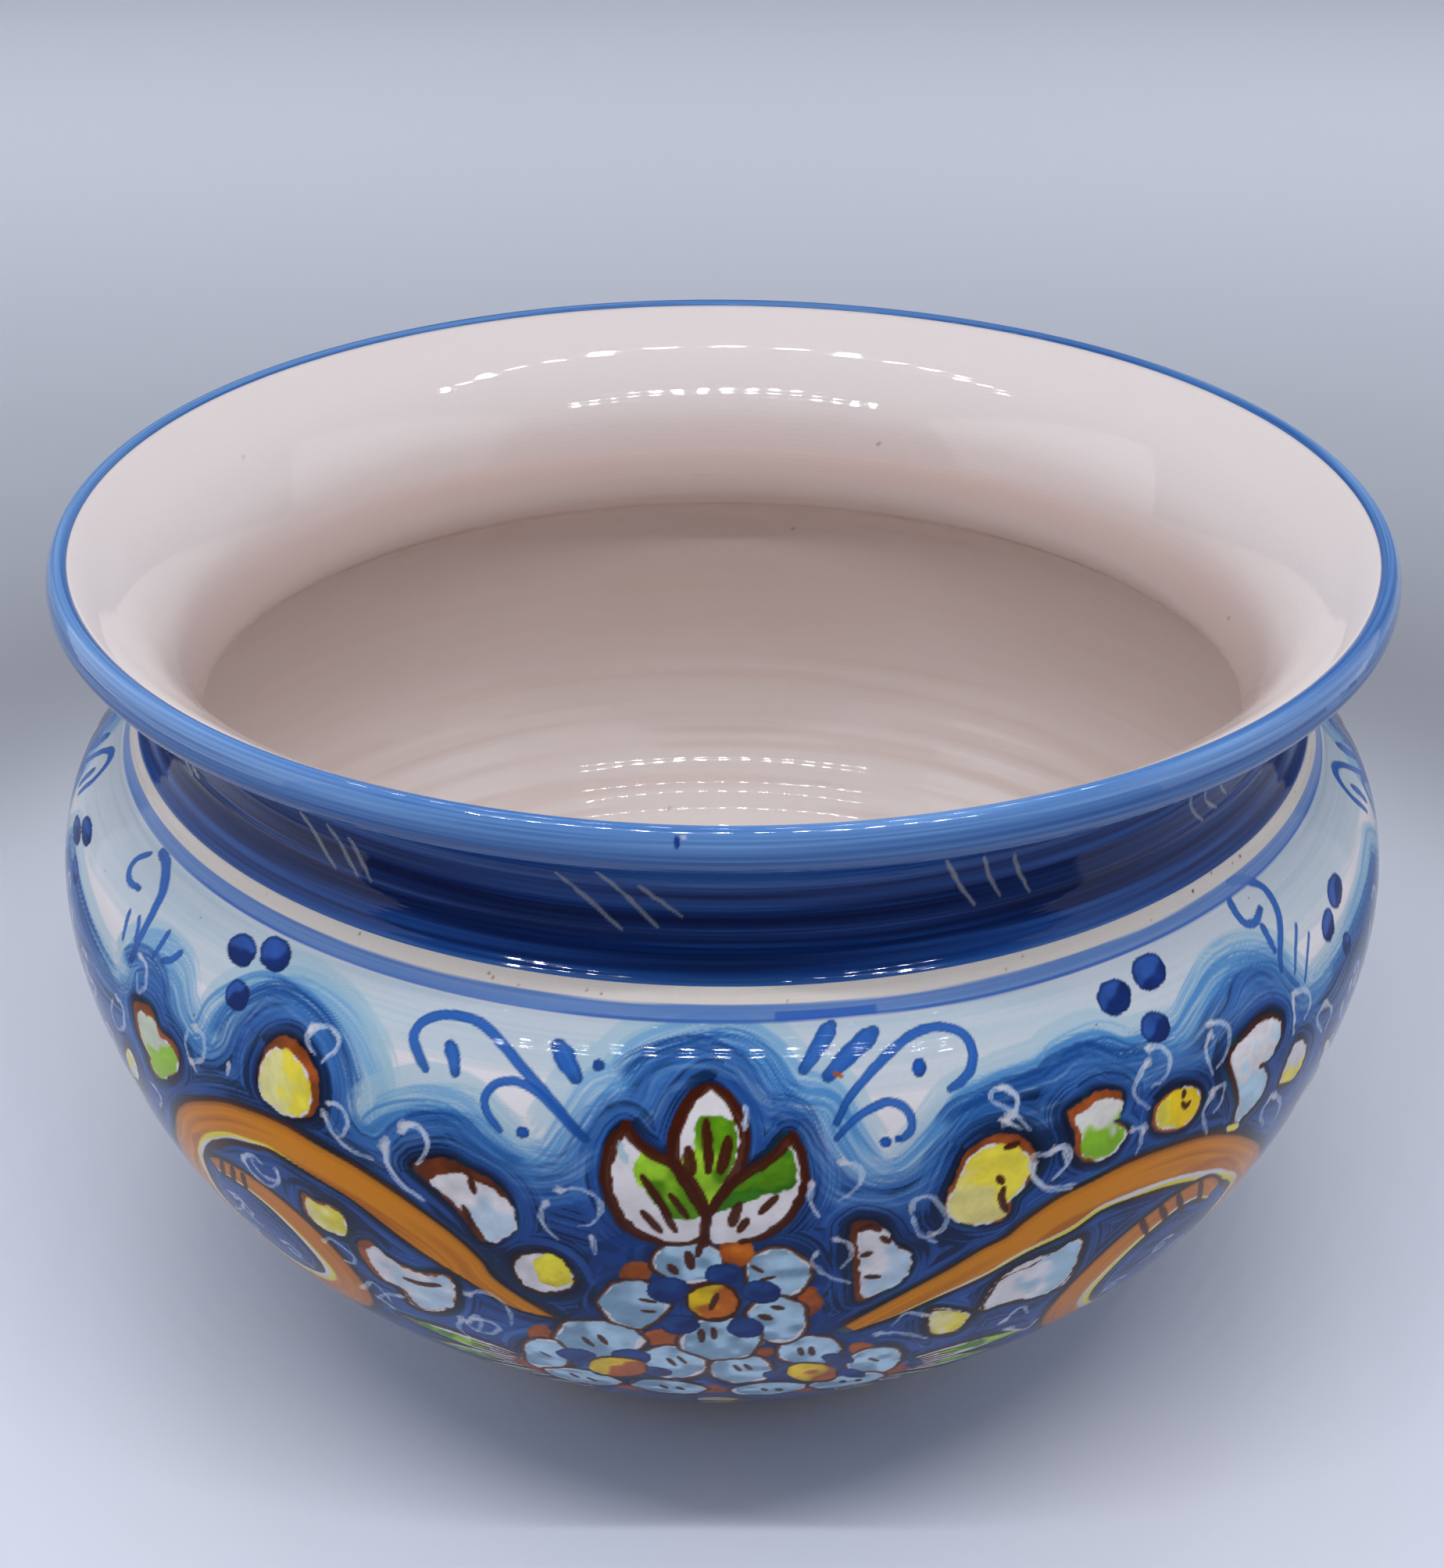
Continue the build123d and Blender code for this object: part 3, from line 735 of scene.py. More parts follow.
def buds(h):
    h.bud("A", [(82, 382), (120, 366), (165, 366), (200, 385), (250, 410), (290, 450), (303, 500), (278, 530),
                (235, 545), (205, 510), (172, 470), (130, 430)], (196, 216, 230), second=WHITE, lean=(-0.4, 0.6),
          shift=(1.9, -1.6), shrink=0.84, dashes=([(208, 408), (216, 437)], [(193, 468), (203, 490), (214, 508)]))
    h.bud("A", [(300, 590), (330, 568), (380, 570), (420, 593), (440, 635), (412, 655), (360, 658), (318, 637)],
          WHITE, shift=(0, 0), shrink=0.9, brown=BROWN,
          patch2=([(345, 590), (380, 572), (415, 595), (430, 630), (400, 642), (362, 634)], YELLOW))
    h.bud("A", [(1040, 512), (1080, 502), (1112, 518), (1132, 550), (1162, 565), (1168, 600), (1142, 638),
                (1100, 658), (1050, 674), (1044, 600)], (190, 212, 228), second=WHITE, lean=(-0.6, 0.3), shift=(0.8, -0.4),
          shrink=0.9, dashes=([(1060, 520), (1082, 512), (1102, 520)], [(1108, 536), (1122, 546)], [(1064, 576), (1082, 570)],
                              [(1072, 622), (1100, 622)]))
    h.bud("A", [(1296, 345), (1345, 314), (1400, 312), (1434, 335), (1444, 380), (1424, 420), (1394, 450), (1378, 492),
                (1330, 508), (1278, 504), (1246, 482), (1250, 440), (1272, 390)], (240, 224, 130), second=YELLOW,
          lean=(0.5, 0.7), shift=(-0.3, -0.9), shrink=0.9, brown=RUST,
          dashes=([(1362, 404), (1370, 416)], [(1372, 428), (1368, 450), (1378, 478)], [(1378, 340), (1404, 330)]))
    if h.squeeze != 1.0:
        for a, d, rx, ry, t, kind in ((-24, 108, 9.5, 5.6, -0.5, 0), (24.5, 107, 9.0, 5.6, 0.5, 0), (-31.5, 96, 4.8, 6.0, 0.2, 1),
                                      (32, 95, 4.8, 6.0, -0.2, 1), (-35, 117, 4.6, 6.4, 0.3, 2), (34.5, 116, 4.6, 6.4, -0.3, 2),
                                      (-13, 112, 4.4, 5.0, 0.2, 1), (13.5, 111, 4.4, 5.0, 0, 1)):
            p = oval(a, d, rx, ry, t, 12, 0.09, int(60 + a))
            if kind == 0:
                h.bud("S", p, (190, 212, 228), second=WHITE, lean=(-0.5, 0.5), shift=(0.7, -0.4), shrink=0.88, brown=RUST,
                      dashes=(deg([(a - 1.2, d + 0.6), (a + 1.0, d - 0.6)]),))
            else:
                h.bud("S", p, (226, 222, 214) if kind == 2 else (240, 226, 140), second=LIME if kind == 2 else YELLOW,
                      lean=(0.4, -0.4), shift=(0.3, 0.4), shrink=0.88, brown=RUST)
        return
    h.bud("A", [(1318, 697), (1348, 640), (1398, 600), (1470, 570), (1532, 550), (1538, 590), (1504, 640), (1450, 662),
                (1390, 667)], (170, 202, 222), second=WHITE, lean=(-0.6, 0.2), shift=(0, 0), shrink=0.95, brown=BROWN,
          dashes=([(1386, 680), (1404, 660), (1421, 644)],))
    h.bud("A", [(1205, 700), (1230, 688), (1292, 700), (1288, 722), (1260, 747), (1214, 742)], YELLOW, second=(240, 226, 150),
          lean=(-0.4, 0.4), shift=(0.2, 0), shrink=0.9, brown=BROWN)
    h.bud("A", [(0, 570), (40, 598), (62, 618), (150, 618), (178, 650), (168, 692), (120, 698), (80, 682), (54, 642),
                (8, 620)], (186, 210, 226), second=WHITE, lean=(-0.5, 0.3), shift=(0, 0), shrink=0.95, brown=BROWN,
          dashes=([(68, 624), (100, 634), (138, 636)],))
    # left
    h.bud("B", [(330, 752), (375, 758), (405, 790), (425, 850), (470, 890), (500, 950), (492, 1012), (430, 1038),
                (396, 1000), (380, 940), (345, 860)], (206, 214, 190), second=LIME, lean=(0.3, -0.3), shift=(0.5, -1.0),
          shrink=0.86, brown=RUST)
    h.bud("B", [(836, 915), (880, 882), (935, 888), (990, 950), (1026, 1030), (1030, 1112), (1008, 1174), (930, 1186),
                (860, 1142), (810, 1092), (800, 1010)], (240, 232, 150), second=YELLOW, lean=(0.6, 0.2),
          shift=(-0.9, -1.4), shrink=0.86, brown=RUST)
    h.bud("B", [(300, 915), (330, 950), (352, 1040), (330, 1030), (306, 975)], YELLOW, second=WHITE, lean=(0.5, -0.5), brown=BROWN, shift=(0, 0))
    h.bud("B", [(232, 880), (258, 905), (268, 960), (245, 940)], WHITE, brown=BROWN, shift=(0, 0))
    h.bud("C", [(522, 372), (560, 393), (620, 412), (658, 450), (664, 508), (610, 498), (560, 468), (528, 428)],
          YELLOW, second=(240, 226, 140), lean=(-0.5, -0.4), shift=(0.4, -0.6), shrink=0.88, brown=RUST)
    h.bud("C", [(700, 540), (738, 528), (780, 568), (850, 608), (930, 633), (997, 638), (1018, 690), (1002, 742), (930, 753),
                (880, 732), (842, 683), (780, 652), (738, 612)], (186, 210, 226), second=WHITE, lean=(-0.4, 0.5),
          shift=(0.9, -0.4), shrink=0.9, brown=RUST, dashes=([(855, 650), (910, 668), (966, 672)],))
    # right
    h.bud("E", [(330, 1075), (380, 1040), (440, 1030), (485, 1050), (474, 1112), (440, 1142), (502, 1190), (472, 1252),
                (420, 1302), (350, 1314), (300, 1284), (296, 1200), (268, 1122)], (226, 222, 214), second=(130, 186, 36),
          lean=(0.35, -0.75), shift=(0.7, -1.0), shrink=0.87, brown=RUST)
    h.bud("E", [(625, 1085), (685, 1032), (762, 1020), (795, 1050), (784, 1112), (732, 1176), (660, 1198), (610, 1188),
                (602, 1132)], YELLOW, second=YELLOW2, lean=(0.5, -0.2), shift=(0.35, 0.2), shrink=0.9, brown=RUST,
          dashes=([(728, 1035), (726, 1060)], [(722, 1082), (734, 1098), (750, 1080)]))
    h.bud("E", [(915, 868), (980, 795), (1060, 730), (1110, 748), (1112, 812), (1082, 882), (1044, 932), (1054, 1002),
                (1022, 1074), (960, 1144), (915, 1176), (938, 1080), (922, 1000), (902, 930)], WHITE, second=(176, 204, 222),
          lean=(0.2, -0.7), shift=(0.2, -0.2), shrink=0.93, brown=BROWN,
          dashes=([(975, 802), (1020, 760), (1065, 738)], [(900, 925), (925, 1000), (940, 1090)], [(1028, 940), (1046, 930)]))
    h.bud("E", [(1176, 830), (1212, 846), (1194, 932), (1152, 994), (1102, 1014), (1118, 950), (1148, 880)], WHITE,
          second=YELLOW, lean=(-0.2, -0.8), shift=(0, 0), shrink=0.9, brown=BROWN)
    h.bud("E", [(1290, 830), (1302, 845), (1292, 905), (1262, 950), (1258, 930), (1276, 880)], WHITE, brown=BROWN, shift=(0, 0))
    h.bud("E", [(895, 1180), (945, 1158), (930, 1192), (900, 1198)], YELLOW, brown=BROWN, shift=(0, 0))
    h.bud("D", [(480, 682), (510, 620), (550, 578), (640, 538), (740, 478), (804, 446), (794, 512), (752, 582), (702, 622),
                (640, 644), (560, 658)], (172, 204, 222), second=WHITE, lean=(-0.6, -0.2), shift=(0, 0), shrink=0.94, brown=BROWN)
    h.bud("D", [(308, 720), (330, 678), (442, 688), (434, 716), (400, 748), (328, 758)], YELLOW, second=(240, 226, 150),
          lean=(-0.5, 0.2), shift=(0.2, 0), shrink=0.9, brown=BROWN)


def leaf(h, base, tip, wide, green, lean=(0.0, 0.0), veins=3, outline=True):
    """A long pointed leaf from its base to its tip, in (degrees, mm): white, part green, brown veins."""
    a, b = deg([base, tip])
    k = radius((a[1] + b[1]) / 2)
    dx, dy = (b[0] - a[0]) * k, b[1] - a[1]
    size = math.hypot(dx, dy)
    ux, uy = dx / size, dy / size

    def spot(u, v):
        x, y = ux * u * size - uy * v, uy * u * size + ux * v
        return a[0] + x / k, a[1] + y

    w = wide / 2
    p = [spot(0, 0), spot(0.18, 0.72 * w), spot(0.42, w), spot(0.7, 0.8 * w), spot(0.9, 0.35 * w), spot(1.04, 0),
         spot(0.88, -0.4 * w), spot(0.66, -0.85 * w), spot(0.4, -w), spot(0.16, -0.7 * w)]
    h.patch("S", p, WHITE, outline=outline, wash=0.04, rough=0.25)
    if h.listing:
        return
    q = [spot(0.34, 0.5 * w), spot(0.6, 0.72 * w), spot(0.84, 0.4 * w), spot(1.0, 0), spot(0.82, -0.4 * w),
         spot(0.58, -0.5 * w), spot(0.36, -0.2 * w)]
    h.patch("S", q, green, second=LIME if green != LIME else GREEN, lean=lean, wash=0.16, rough=0.5, ink=0.4)
    h.line("S", p + p[:2], 0.75, BROWN, rough=0.4, streak=0.25, taper=(0.05, 0.05), tip=0.5, ink=0.6, alpha=0.9)
    for i in range(veins):
        v = (i - (veins - 1) / 2) * 0.42 * w
        h.line("S", [spot(0.10, v * 0.5), spot(0.27, v), spot(0.46, v * 1.25)], 0.8, BROWN, taper=(0.1, 0.5), tip=0.4,
               rough=0.3, ink=0.5)


def leaves(h):
    """Leaf fans at the foot of the bunch."""
    for base, tip, w, col in (((-16.8, 85.5), (-29.2, 90.5), 8.2, GREEN), ((-16.8, 81), (-28.6, 77.5), 8.0, LIME),
                              ((-15.6, 75.5), (-25.5, 65.5), 7.6, GREEN2), ((-12.5, 70.5), (-19.5, 56.5), 7.6, GREEN),
                              ((15.8, 85.5), (28.4, 86.5), 8.2, GREEN), ((16.2, 81), (28.0, 73.5), 8.0, LIME),
                              ((14.8, 74.5), (23.8, 62.5), 7.6, GREEN2), ((11.5, 69.5), (17.2, 54.5), 7.6, GREEN)):
        leaf(h, base, tip, w, col, (0.3, -0.3))


def low_row(h):
    """What goes round below the flowers and scrolls, towards the foot."""
    for a, d, rx, ry, t, kind in ((-37, 64, 8.5, 5.6, 0.5, 0), (-52, 61, 6.2, 5.2, -0.3, 1), (36, 62, 8.5, 5.6, -0.5, 0),
                                  (51, 60, 6.2, 5.2, 0.3, 1), (-29, 46, 5.4, 4.4, 0.2, 1), (28, 45, 5.4, 4.4, -0.2, 2),
                                  (-44, 45, 6.4, 4.4, 0.1, 2), (43, 44, 6.4, 4.4, -0.1, 1), (0, 37, 5.0, 3.8, 0, 1)):
        if h.squeeze != 1.0 and abs(a) > 30:
            continue
        p = oval(a, d, rx, ry, t, 12, 0.09, int(90 + a))
        if kind == 0:
            h.bud("S", p, (190, 212, 228), second=WHITE, lean=(-0.5, 0.5), shift=(0.7, -0.4), shrink=0.88, brown=RUST,
                  dashes=(deg([(a - 1.2, d + 0.6), (a + 1.0, d - 0.6)]),))
        elif kind == 1:
            h.bud("S", p, (240, 226, 140), second=YELLOW, lean=(0.5, -0.3), shift=(-0.5, -0.5), shrink=0.88, brown=RUST)
        else:
            h.bud("S", p, (226, 222, 214), second=LIME, lean=(0.3, -0.6), shift=(0.4, 0.5), shrink=0.87, brown=RUST)
    for a, d, m in ((-44, 58, 1), (-22, 42, -1), (-36, 51, -1), (-57, 70, 1), (-55, 49, -1), (44, 57, -1), (21, 42, 1),
                    (35, 50, 1), (57, 69, -1), (54, 48, 1), (8, 45, 1), (-8, 44, -1), (-12, 34, 1), (12, 33, -1),
                    (34, 34, 1), (-34, 34, -1), (50, 34, -1), (-50, 35, 1)):
        if h.squeeze != 1.0 and abs(a) > 30:
            continue
        k = radius(d)
        h.curl("S", [(math.radians(a) + m * x / k, d + y) for x, y in ((-2.6, 1.2), (0.2, 3.0), (2.6, 1.4), (2.2, -1.4),
                                                                       (-0.2, -2.0), (-1.2, 0.2), (0.9, 0.9))])


def curls(h):
    for sq, pts in (
            ("A", [(58, 290), (92, 290), (113, 320), (106, 360), (90, 376)]), ("A", [(25, 328), (28, 380), (60, 425), (104, 455)]),
            ("A", [(400, 434), (440, 430), (480, 445), (493, 475), (475, 505), (444, 511)]), ("A", [(374, 458), (360, 482), (370, 510), (400, 541)]),
            ("A", [(474, 534), (476, 552), (481, 572)]),
            ("A", [(1018, 374), (1050, 375), (1061, 400), (1050, 430), (1014, 456)]), ("A", [(952, 418), (950, 455), (969, 491)]),
            ("A", [(1004, 540), (1034, 550), (1041, 575), (1018, 602)]), ("A", [(965, 568), (955, 592), (990, 620), (1036, 636)]),
            ("A", [(1213, 531), (1241, 515), (1246, 480), (1214, 449), (1178, 456), (1174, 490), (1190, 530), (1226, 546)]),
            ("A", [(1384, 276), (1401, 250), (1400, 224), (1365, 209), (1344, 220), (1350, 240), (1390, 260), (1431, 301)]),
            ("A", [(1484, 344), (1511, 340), (1516, 370), (1489, 401)]), ("A", [(1440, 374), (1440, 405), (1470, 430), (1521, 430)]),
            ("A", [(199, 661), (230, 654), (270, 670), (295, 698), (296, 726)]), ("A", [(211, 712), (250, 720), (271, 735), (250, 746), (214, 735), (194, 715)]),
            ("A", [(1098, 745), (1150, 744), (1202, 756)]), ("A", [(1369, 721), (1410, 689), (1426, 700)]), ("A", [(1379, 736), (1420, 736), (1446, 714)]),
            ("A", [(60, 666), (30, 660), (5, 668)]), ("A", [(40, 690), (15, 672), (0, 662)]),
            ("B", [(350, 570), (376, 610), (372, 690), (344, 706), (342, 640)]), ("B", [(262, 728), (288, 770), (292, 840), (268, 848), (246, 790), (250, 735)]),
            ("B", [(555, 845), (590, 880), (588, 960), (542, 972), (524, 900), (532, 858)]), ("B", [(540, 968), (565, 1010)]),
            ("B", [(1000, 852), (1052, 838), (1102, 870), (1096, 922), (1040, 976)]), ("B", [(1000, 850), (984, 890), (1012, 945)]),
            ("B", [(1062, 1130), (1100, 1135), (1134, 1180), (1128, 1240), (1098, 1262)]), ("B", [(1048, 1170), (1080, 1240), (1150, 1310), (1230, 1342)]),
            ("B", [(1340, 1240), (1380, 1215), (1425, 1240), (1438, 1300), (1400, 1362)]), ("B", [(1270, 1290), (1290, 1360), (1350, 1440), (1430, 1500)]),
            ("B", [(690, 985), (682, 1022)]), ("B", [(160, 650), (185, 700), (182, 745)]), ("B", [(400, 1060), (432, 1110), (428, 1150)]),
            ("B", [(740, 1340), (770, 1325), (810, 1360)]), ("B", [(742, 1345), (780, 1400), (840, 1445), (876, 1430), (868, 1390)]),
            ("B", [(690, 1465), (730, 1490), (745, 1525), (715, 1530)]),
            ("C", [(440, 300), (446, 330), (408, 325), (370, 290), (350, 250), (330, 260)]),
            ("C", [(590, 530), (610, 520), (650, 545), (690, 580), (690, 602), (660, 592)]), ("C", [(714, 681), (750, 664), (790, 700), (816, 731)]),
            ("C", [(1058, 792), (1085, 770), (1104, 790), (1092, 822)]), ("C", [(1040, 780), (1030, 810), (1062, 836)]),
            ("E", [(580, 866), (640, 862), (674, 910), (655, 980), (604, 1020)]), ("E", [(588, 918), (552, 980), (532, 1050), (590, 1104)]),
            ("E", [(824, 772), (880, 766), (908, 810), (890, 900), (858, 942)]), ("E", [(830, 812), (812, 880), (842, 970)]),
            ("E", [(838, 1040), (888, 1010), (872, 1080), (846, 1122)]), ("E", [(838, 1050), (804, 1120), (816, 1206)]),
            ("E", [(1160, 650), (1210, 640), (1226, 690), (1204, 750)]), ("E", [(1158, 670), (1160, 810)]),
            ("E", [(1290, 684), (1310, 720), (1284, 790)]), ("E", [(1284, 690), (1252, 750), (1270, 804)]),
            ("E", [(1080, 1050), (1110, 1080), (1084, 1150)]), ("E", [(1070, 1056), (1030, 1130), (1042, 1170)]),
            ("E", [(0, 1024), (40, 1030), (72, 1080), (50, 1146), (0, 1146)]), ("E", [(20, 1150), (84, 1186)]),
            ("E", [(206, 1268), (250, 1262), (264, 1320), (212, 1384)]), ("E", [(210, 1280), (130, 1300), (136, 1380), (206, 1416), (300, 1400)]),
            ("E", [(520, 1196), (560, 1176), (572, 1200)]), ("E", [(568, 1180), (556, 1240), (540, 1282)]),
            ("E", [(1383, 610), (1374, 660)]), ("E", [(1352, 690), (1340, 750)]),
            ("D", [(330, 700), (250, 690), (200, 730)])):
        if h.squeeze == 1.0 or (sq == "A" and 0 < pts[0][0] < 1300 and pts[0][1] < 620):
            h.curl(sq, pts)
    if h.squeeze == 1.0:
        for a, d, m in ((-44.5, 108, 1), (-40, 100, 1), (-46.5, 96, -1), (41.5, 101, -1), (45.5, 93, 1), (38, 90, -1)):
            k = radius(d)
            h.curl("S", [(math.radians(a) + m * x / k, d + y) for x, y in ((-2.4, 2.2), (0.4, 3.0), (2.2, 0.9), (1.2, -1.8),
                                                                           (-1.2, -1.6), (-0.4, 0.6), (2.0, -3.4), (4.0, -4.0))])
    if h.squeeze != 1.0:
        for a, d, m in ((-20, 121, 1), (20, 120, -1), (-29, 112, -1), (29, 110, 1), (-19, 99, 1), (19.5, 98, -1), (-34, 132, 1),
                        (33, 134, -1), (-38, 100, 1), (38, 98, -1), (-30, 146, 1), (30, 147, -1), (-36, 84, 1), (36, 84, -1)):
            k = radius(d)
            h.curl("S", [(math.radians(a) + m * x / k, d + y) for x, y in ((-2.4, 2.6), (0.4, 3.4), (2.2, 1.2), (1.4, -1.8),
                                                                           (-0.9, -2.0), (-0.6, 0.4), (1.6, -3.6), (3.4, -4.6))])


def sweep(g, line, width, colour, alpha, seed, wet):
    """One pass of a wide, half dry brush: bristle streaks along it, more of them where wet is low."""
    if len(line) < 4:
        return
    found = g.near(np.asarray(line), width / 2 + 1.2)
    if found is None:
        return
    rows, cols, t, far, along, side, total = found
    u = along / total
    hair = (0.42 * noise(side / 0.40, along / 17.0 + seed, seed % 97) + 0.33 * noise(side / 0.95, along / 27.0, seed % 89 + 1)
            + 0.25 * noise(side / 0.22, along / 8.0, seed % 83 + 2))
    v = far / (width / 2) + 0.16 * (noise(along / 6.0, 0 * along, seed % 79 + 3) - 0.5) + 0.22 * (1 - wet) * (hair - 0.5)
    edge = step(1.02, 0.90, v)
    ends = step(0.0, 0.06, u - 0.10 * (hair - 0.3)) * step(1.0, 0.9, u + 0.16 * (hair - 0.5))
    load = wet - 0.16 * (1 - np.sin(math.pi * np.clip(u, 0, 1))) - 0.12 * (v > 0.7) * (1 - wet)
    cover = np.clip((hair - (0.72 - 0.62 * load)) / 0.16 + 0.5, 0, 1)
    g.lay(rows, cols, colour, alpha * edge * ends * (0.25 * wet + (1 - 0.25 * wet) * cover), 0.2)


def motifs(h):
    leaves(h)
    low_row(h)
    if h.squeeze == 1.0:
        scrolls(h)
    buds(h)
    rosettes(h)
    sprig(h)


def around(theta, cells):
    """Angle as noise cells, a whole number once round."""
    return (theta / (2 * math.pi) + 0.5) * cells


SIDES = ((math.radians(92), 1, 0.92, 41), (math.radians(-92), -1, 0.9, 57))


def wave_line():
    """The top of the deep blue all the way round, as (angle, distance), from -90 degrees on."""
    p = at(WAVE_LINE)
    front = p[(p[:, 0] > math.radians(-61)) & (p[:, 0] < math.radians(58.5))]
    mid = at([q for q in WAVE_LINE if 538 < q[0] < 1302])
    pieces = [Hand(None, *SIDES[1]).put(mid)[::-1], front, Hand(None, *SIDES[0]).put(mid),
              Hand(None, math.pi, -1, 1.0, 0).put(front)[::-1]]
    line = np.concatenate(pieces)
    return np.r_[line, [[line[0, 0] + 2 * math.pi, line[0, 1]]]]


def paint_belly(theta, s, r, z):
    g = Glaze(theta, s, r, z, WHITE)
    T, S = theta[None, :], s[:, None]
    Z = z[:, None] + 0 * T
    rows = np.arange(len(s))
    cols = np.arange(len(theta))
    tint = noise(around(T, 40), S / 22.0, 2, 40) + 0 * S
    g.c *= (1 + 0.03 * (tint[..., None] - 0.5))
    s_of = lambda zz: float(np.interp(zz, z, s))
    s_cream, s_stripe, s_low = s_of(Z_CREAM), s_of(Z_STRIPE), s_of(Z_SHOULDER)

    # thin celeste washes brushed round under the stripe
    below = s_low - S
    edge = 9.0 + 9.0 * noise(around(T, 9), 0 * S, 5, 9) + 2.5 * (noise(around(T, 40), S / 0.5, 6, 40) - 0.5)
    gaps = step(0.26, 0.46, noise(around(T, 13), 0 * S + 2.0, 8, 13))
    lines = noise(around(T, 26), S / 0.55, 9, 26)
    a = (0.13 + 0.34 * lines) * step(edge, edge - 1.5, below) * step(-0.2, 0.6, below) * (0.35 + 0.65 * gaps)
    g.lay(rows, cols, CELESTE, a)
    a = 0.26 * step(0.5, 0.8, lines) * step(edge * 0.8, edge * 0.3, below) * step(0, 1, below) * gaps
    g.lay(rows, cols, CELESTE2, a)

    # a pale blue veil down to a soft edge, with the warmer white left bare under it
    edge = 15.0 + 6.0 * (noise(around(T, 11), 0 * S, 50, 11) - 0.5) + 1.6 * (noise(around(T, 60), S / 0.6, 51, 60) - 0.5)
    a = step(edge + 0.5, edge - 0.8, below) * step(-0.2, 0.6, below) * (0.40 + 0.3 * noise(around(T, 30), S / 0.7, 52, 30))
    g.lay(rows, cols, (186, 200, 208), a)

    # humps of pale, then middle, then deep blue, each brushed along the same wave
    w = wave_line()
    w = curve(np.r_[w[-12:-1] - [2 * math.pi, 0], w, w[1:12] + [2 * math.pi, 0]], 1.4)
    top = np.interp(theta, w[:, 0], w[:, 1], period=2 * math.pi)
    found = g.near(w, 30.0)
    d = np.full(g.ink.shape, 30.0, np.float32)
    way = np.zeros_like(d)
    d[np.ix_(found[0], found[1])] = np.minimum(found[3], 30)
    way[np.ix_(found[0], found[1])] = found[4]
    d *= np.where(S > top[None, :], 1.0, -1.0)
    bent = d + 5.0 * (noise(way / 16.0, d / 7.0, 44) - 0.5)
    bristle = noise(way / 14.0, bent / 0.42, 11)
    bristle2 = noise(way / 20.0, bent / 1.1, 12)
    mix = 0.45 * bristle + 0.3 * bristle2 + 0.25 * noise(way / 8.0, bent / 0.27, 13)
    # each hump is a few passes of a wide brush, from one trough over to the next
    low_points = [i for i in range(3, len(w) - 3) if w[i, 1] < w[i - 3:i, 1].min() and w[i, 1] <= w[i + 1:i + 4, 1].min()]
    rs = np.random.RandomState(31)
    for i, j in zip(low_points[:-1], low_points[1:]):
        if w[i, 0] < -math.pi / 2 - 1.2 or w[i, 0] > 1.5 * math.pi - 0.6 or j - i < 5:
            continue
        arc = w[max(i - 4, 0):j + 5]
        n = len(arc)
        sd = 100 + i
        nudge = lambda line, x=3.5, y=1.2: line + [rs.uniform(-x, x) / 140, rs.uniform(-y, y)]
        sweep(g, beside(arc, rs.uniform(3.0, 5.5))[2:n - 2], rs.uniform(8, 11), CELESTE, 0.62, sd, 0.92)
        if rs.rand() < 0.6:
            k = int(n * rs.uniform(0.1, 0.35))
            sweep(g, nudge(beside(arc, rs.uniform(3.0, 5.0))[k:]), rs.uniform(6, 9), CELESTE2, 0.5, sd + 1, 0.5)
        sweep(g, nudge(beside(arc, rs.uniform(0.6, 2.2))), rs.uniform(8.5, 11), (104, 156, 204), 0.62, sd + 2, 0.5)
        sweep(g, nudge(beside(arc, rs.uniform(-1.5, 0.5))), rs.uniform(7, 9), WAVE, 0.66, sd + 3, 0.46)
        sweep(g, nudge(beside(arc, rs.uniform(-3.0, 0.0)), 5.0, 2.0), rs.uniform(5, 7), (78, 134, 190), 0.6, sd + 6, 0.4)
        k = int(n * rs.uniform(0.12, 0.3))
        sweep(g, nudge(beside(arc, rs.uniform(-2.0, 0.2)))[k:n - k], rs.uniform(4.5, 6.5), WAVE2, 0.72, sd + 4, 0.5)
        k = int(n * rs.uniform(0.25, 0.42))
        sweep(g, nudge(beside(arc, rs.uniform(-1.6, 0.8)), 4.0)[k:n - k // 2], rs.uniform(2.4, 4.2), DEEP, 0.6, sd + 5, 0.42)

    # the deep ground, brushed round what stands in it
    hands = [Hand(g, 0.0, 1, 1.0, 3), Hand(g, math.pi, -1, 1.0, 23)]
    hands += [Hand(g, *side) for side in SIDES]
    flow = np.full(g.ink.shape, 99.0, np.float32)
    run = np.zeros_like(flow)
    for h in hands:
        h.listing = True
        motifs(h)
        h.listing = False
        h.n = 0
        for i, p in enumerate(h.outlines):
            q = curve(p, 1.6, True)
            f = g.near(np.r_[q, q[:1]], 11.0)
            if f is None:
                continue
            ix = np.ix_(f[0], f[1])
            better = f[3] < flow[ix]
            flow[ix] = np.where(better, f[3], flow[ix])
            run[ix] = np.where(better, f[4] + 37.0 * i, run[ix])
    wave_d = np.abs(d)
    swirl = S + 5.0 * np.sin(3 * T + 0.5) + 3.0 * np.sin(7 * T + 1.9)
    open1 = noise(around(T, 30), swirl / 0.46, 17, 30)
    open2 = noise(around(T, 22), swirl / 1.4, 19, 22)
    lead = step(9.0, 4.0, flow)
    near_wave = step(14.0, 7.0, wave_d) * (1 - lead)
    m1 = noise(flow / 0.42, run / 12.0, 16) * lead + noise(way / 12.0, bent / 0.42, 17) * near_wave + open1 * (1 - lead) * (1 - near_wave)
    m2 = noise(flow / 1.3, run / 16.0, 18) * lead + noise(way / 15.0, bent / 1.3, 19) * near_wave + open2 * (1 - lead) * (1 - near_wave)
    m3 = 0.5 * noise(around(T, 46), S / 17.0, 20, 46) + 0.3 * noise(around(T, 90), S / 8.3, 21, 90) + 0.2 * noise(around(T, 190), S / 4.1, 22, 190)
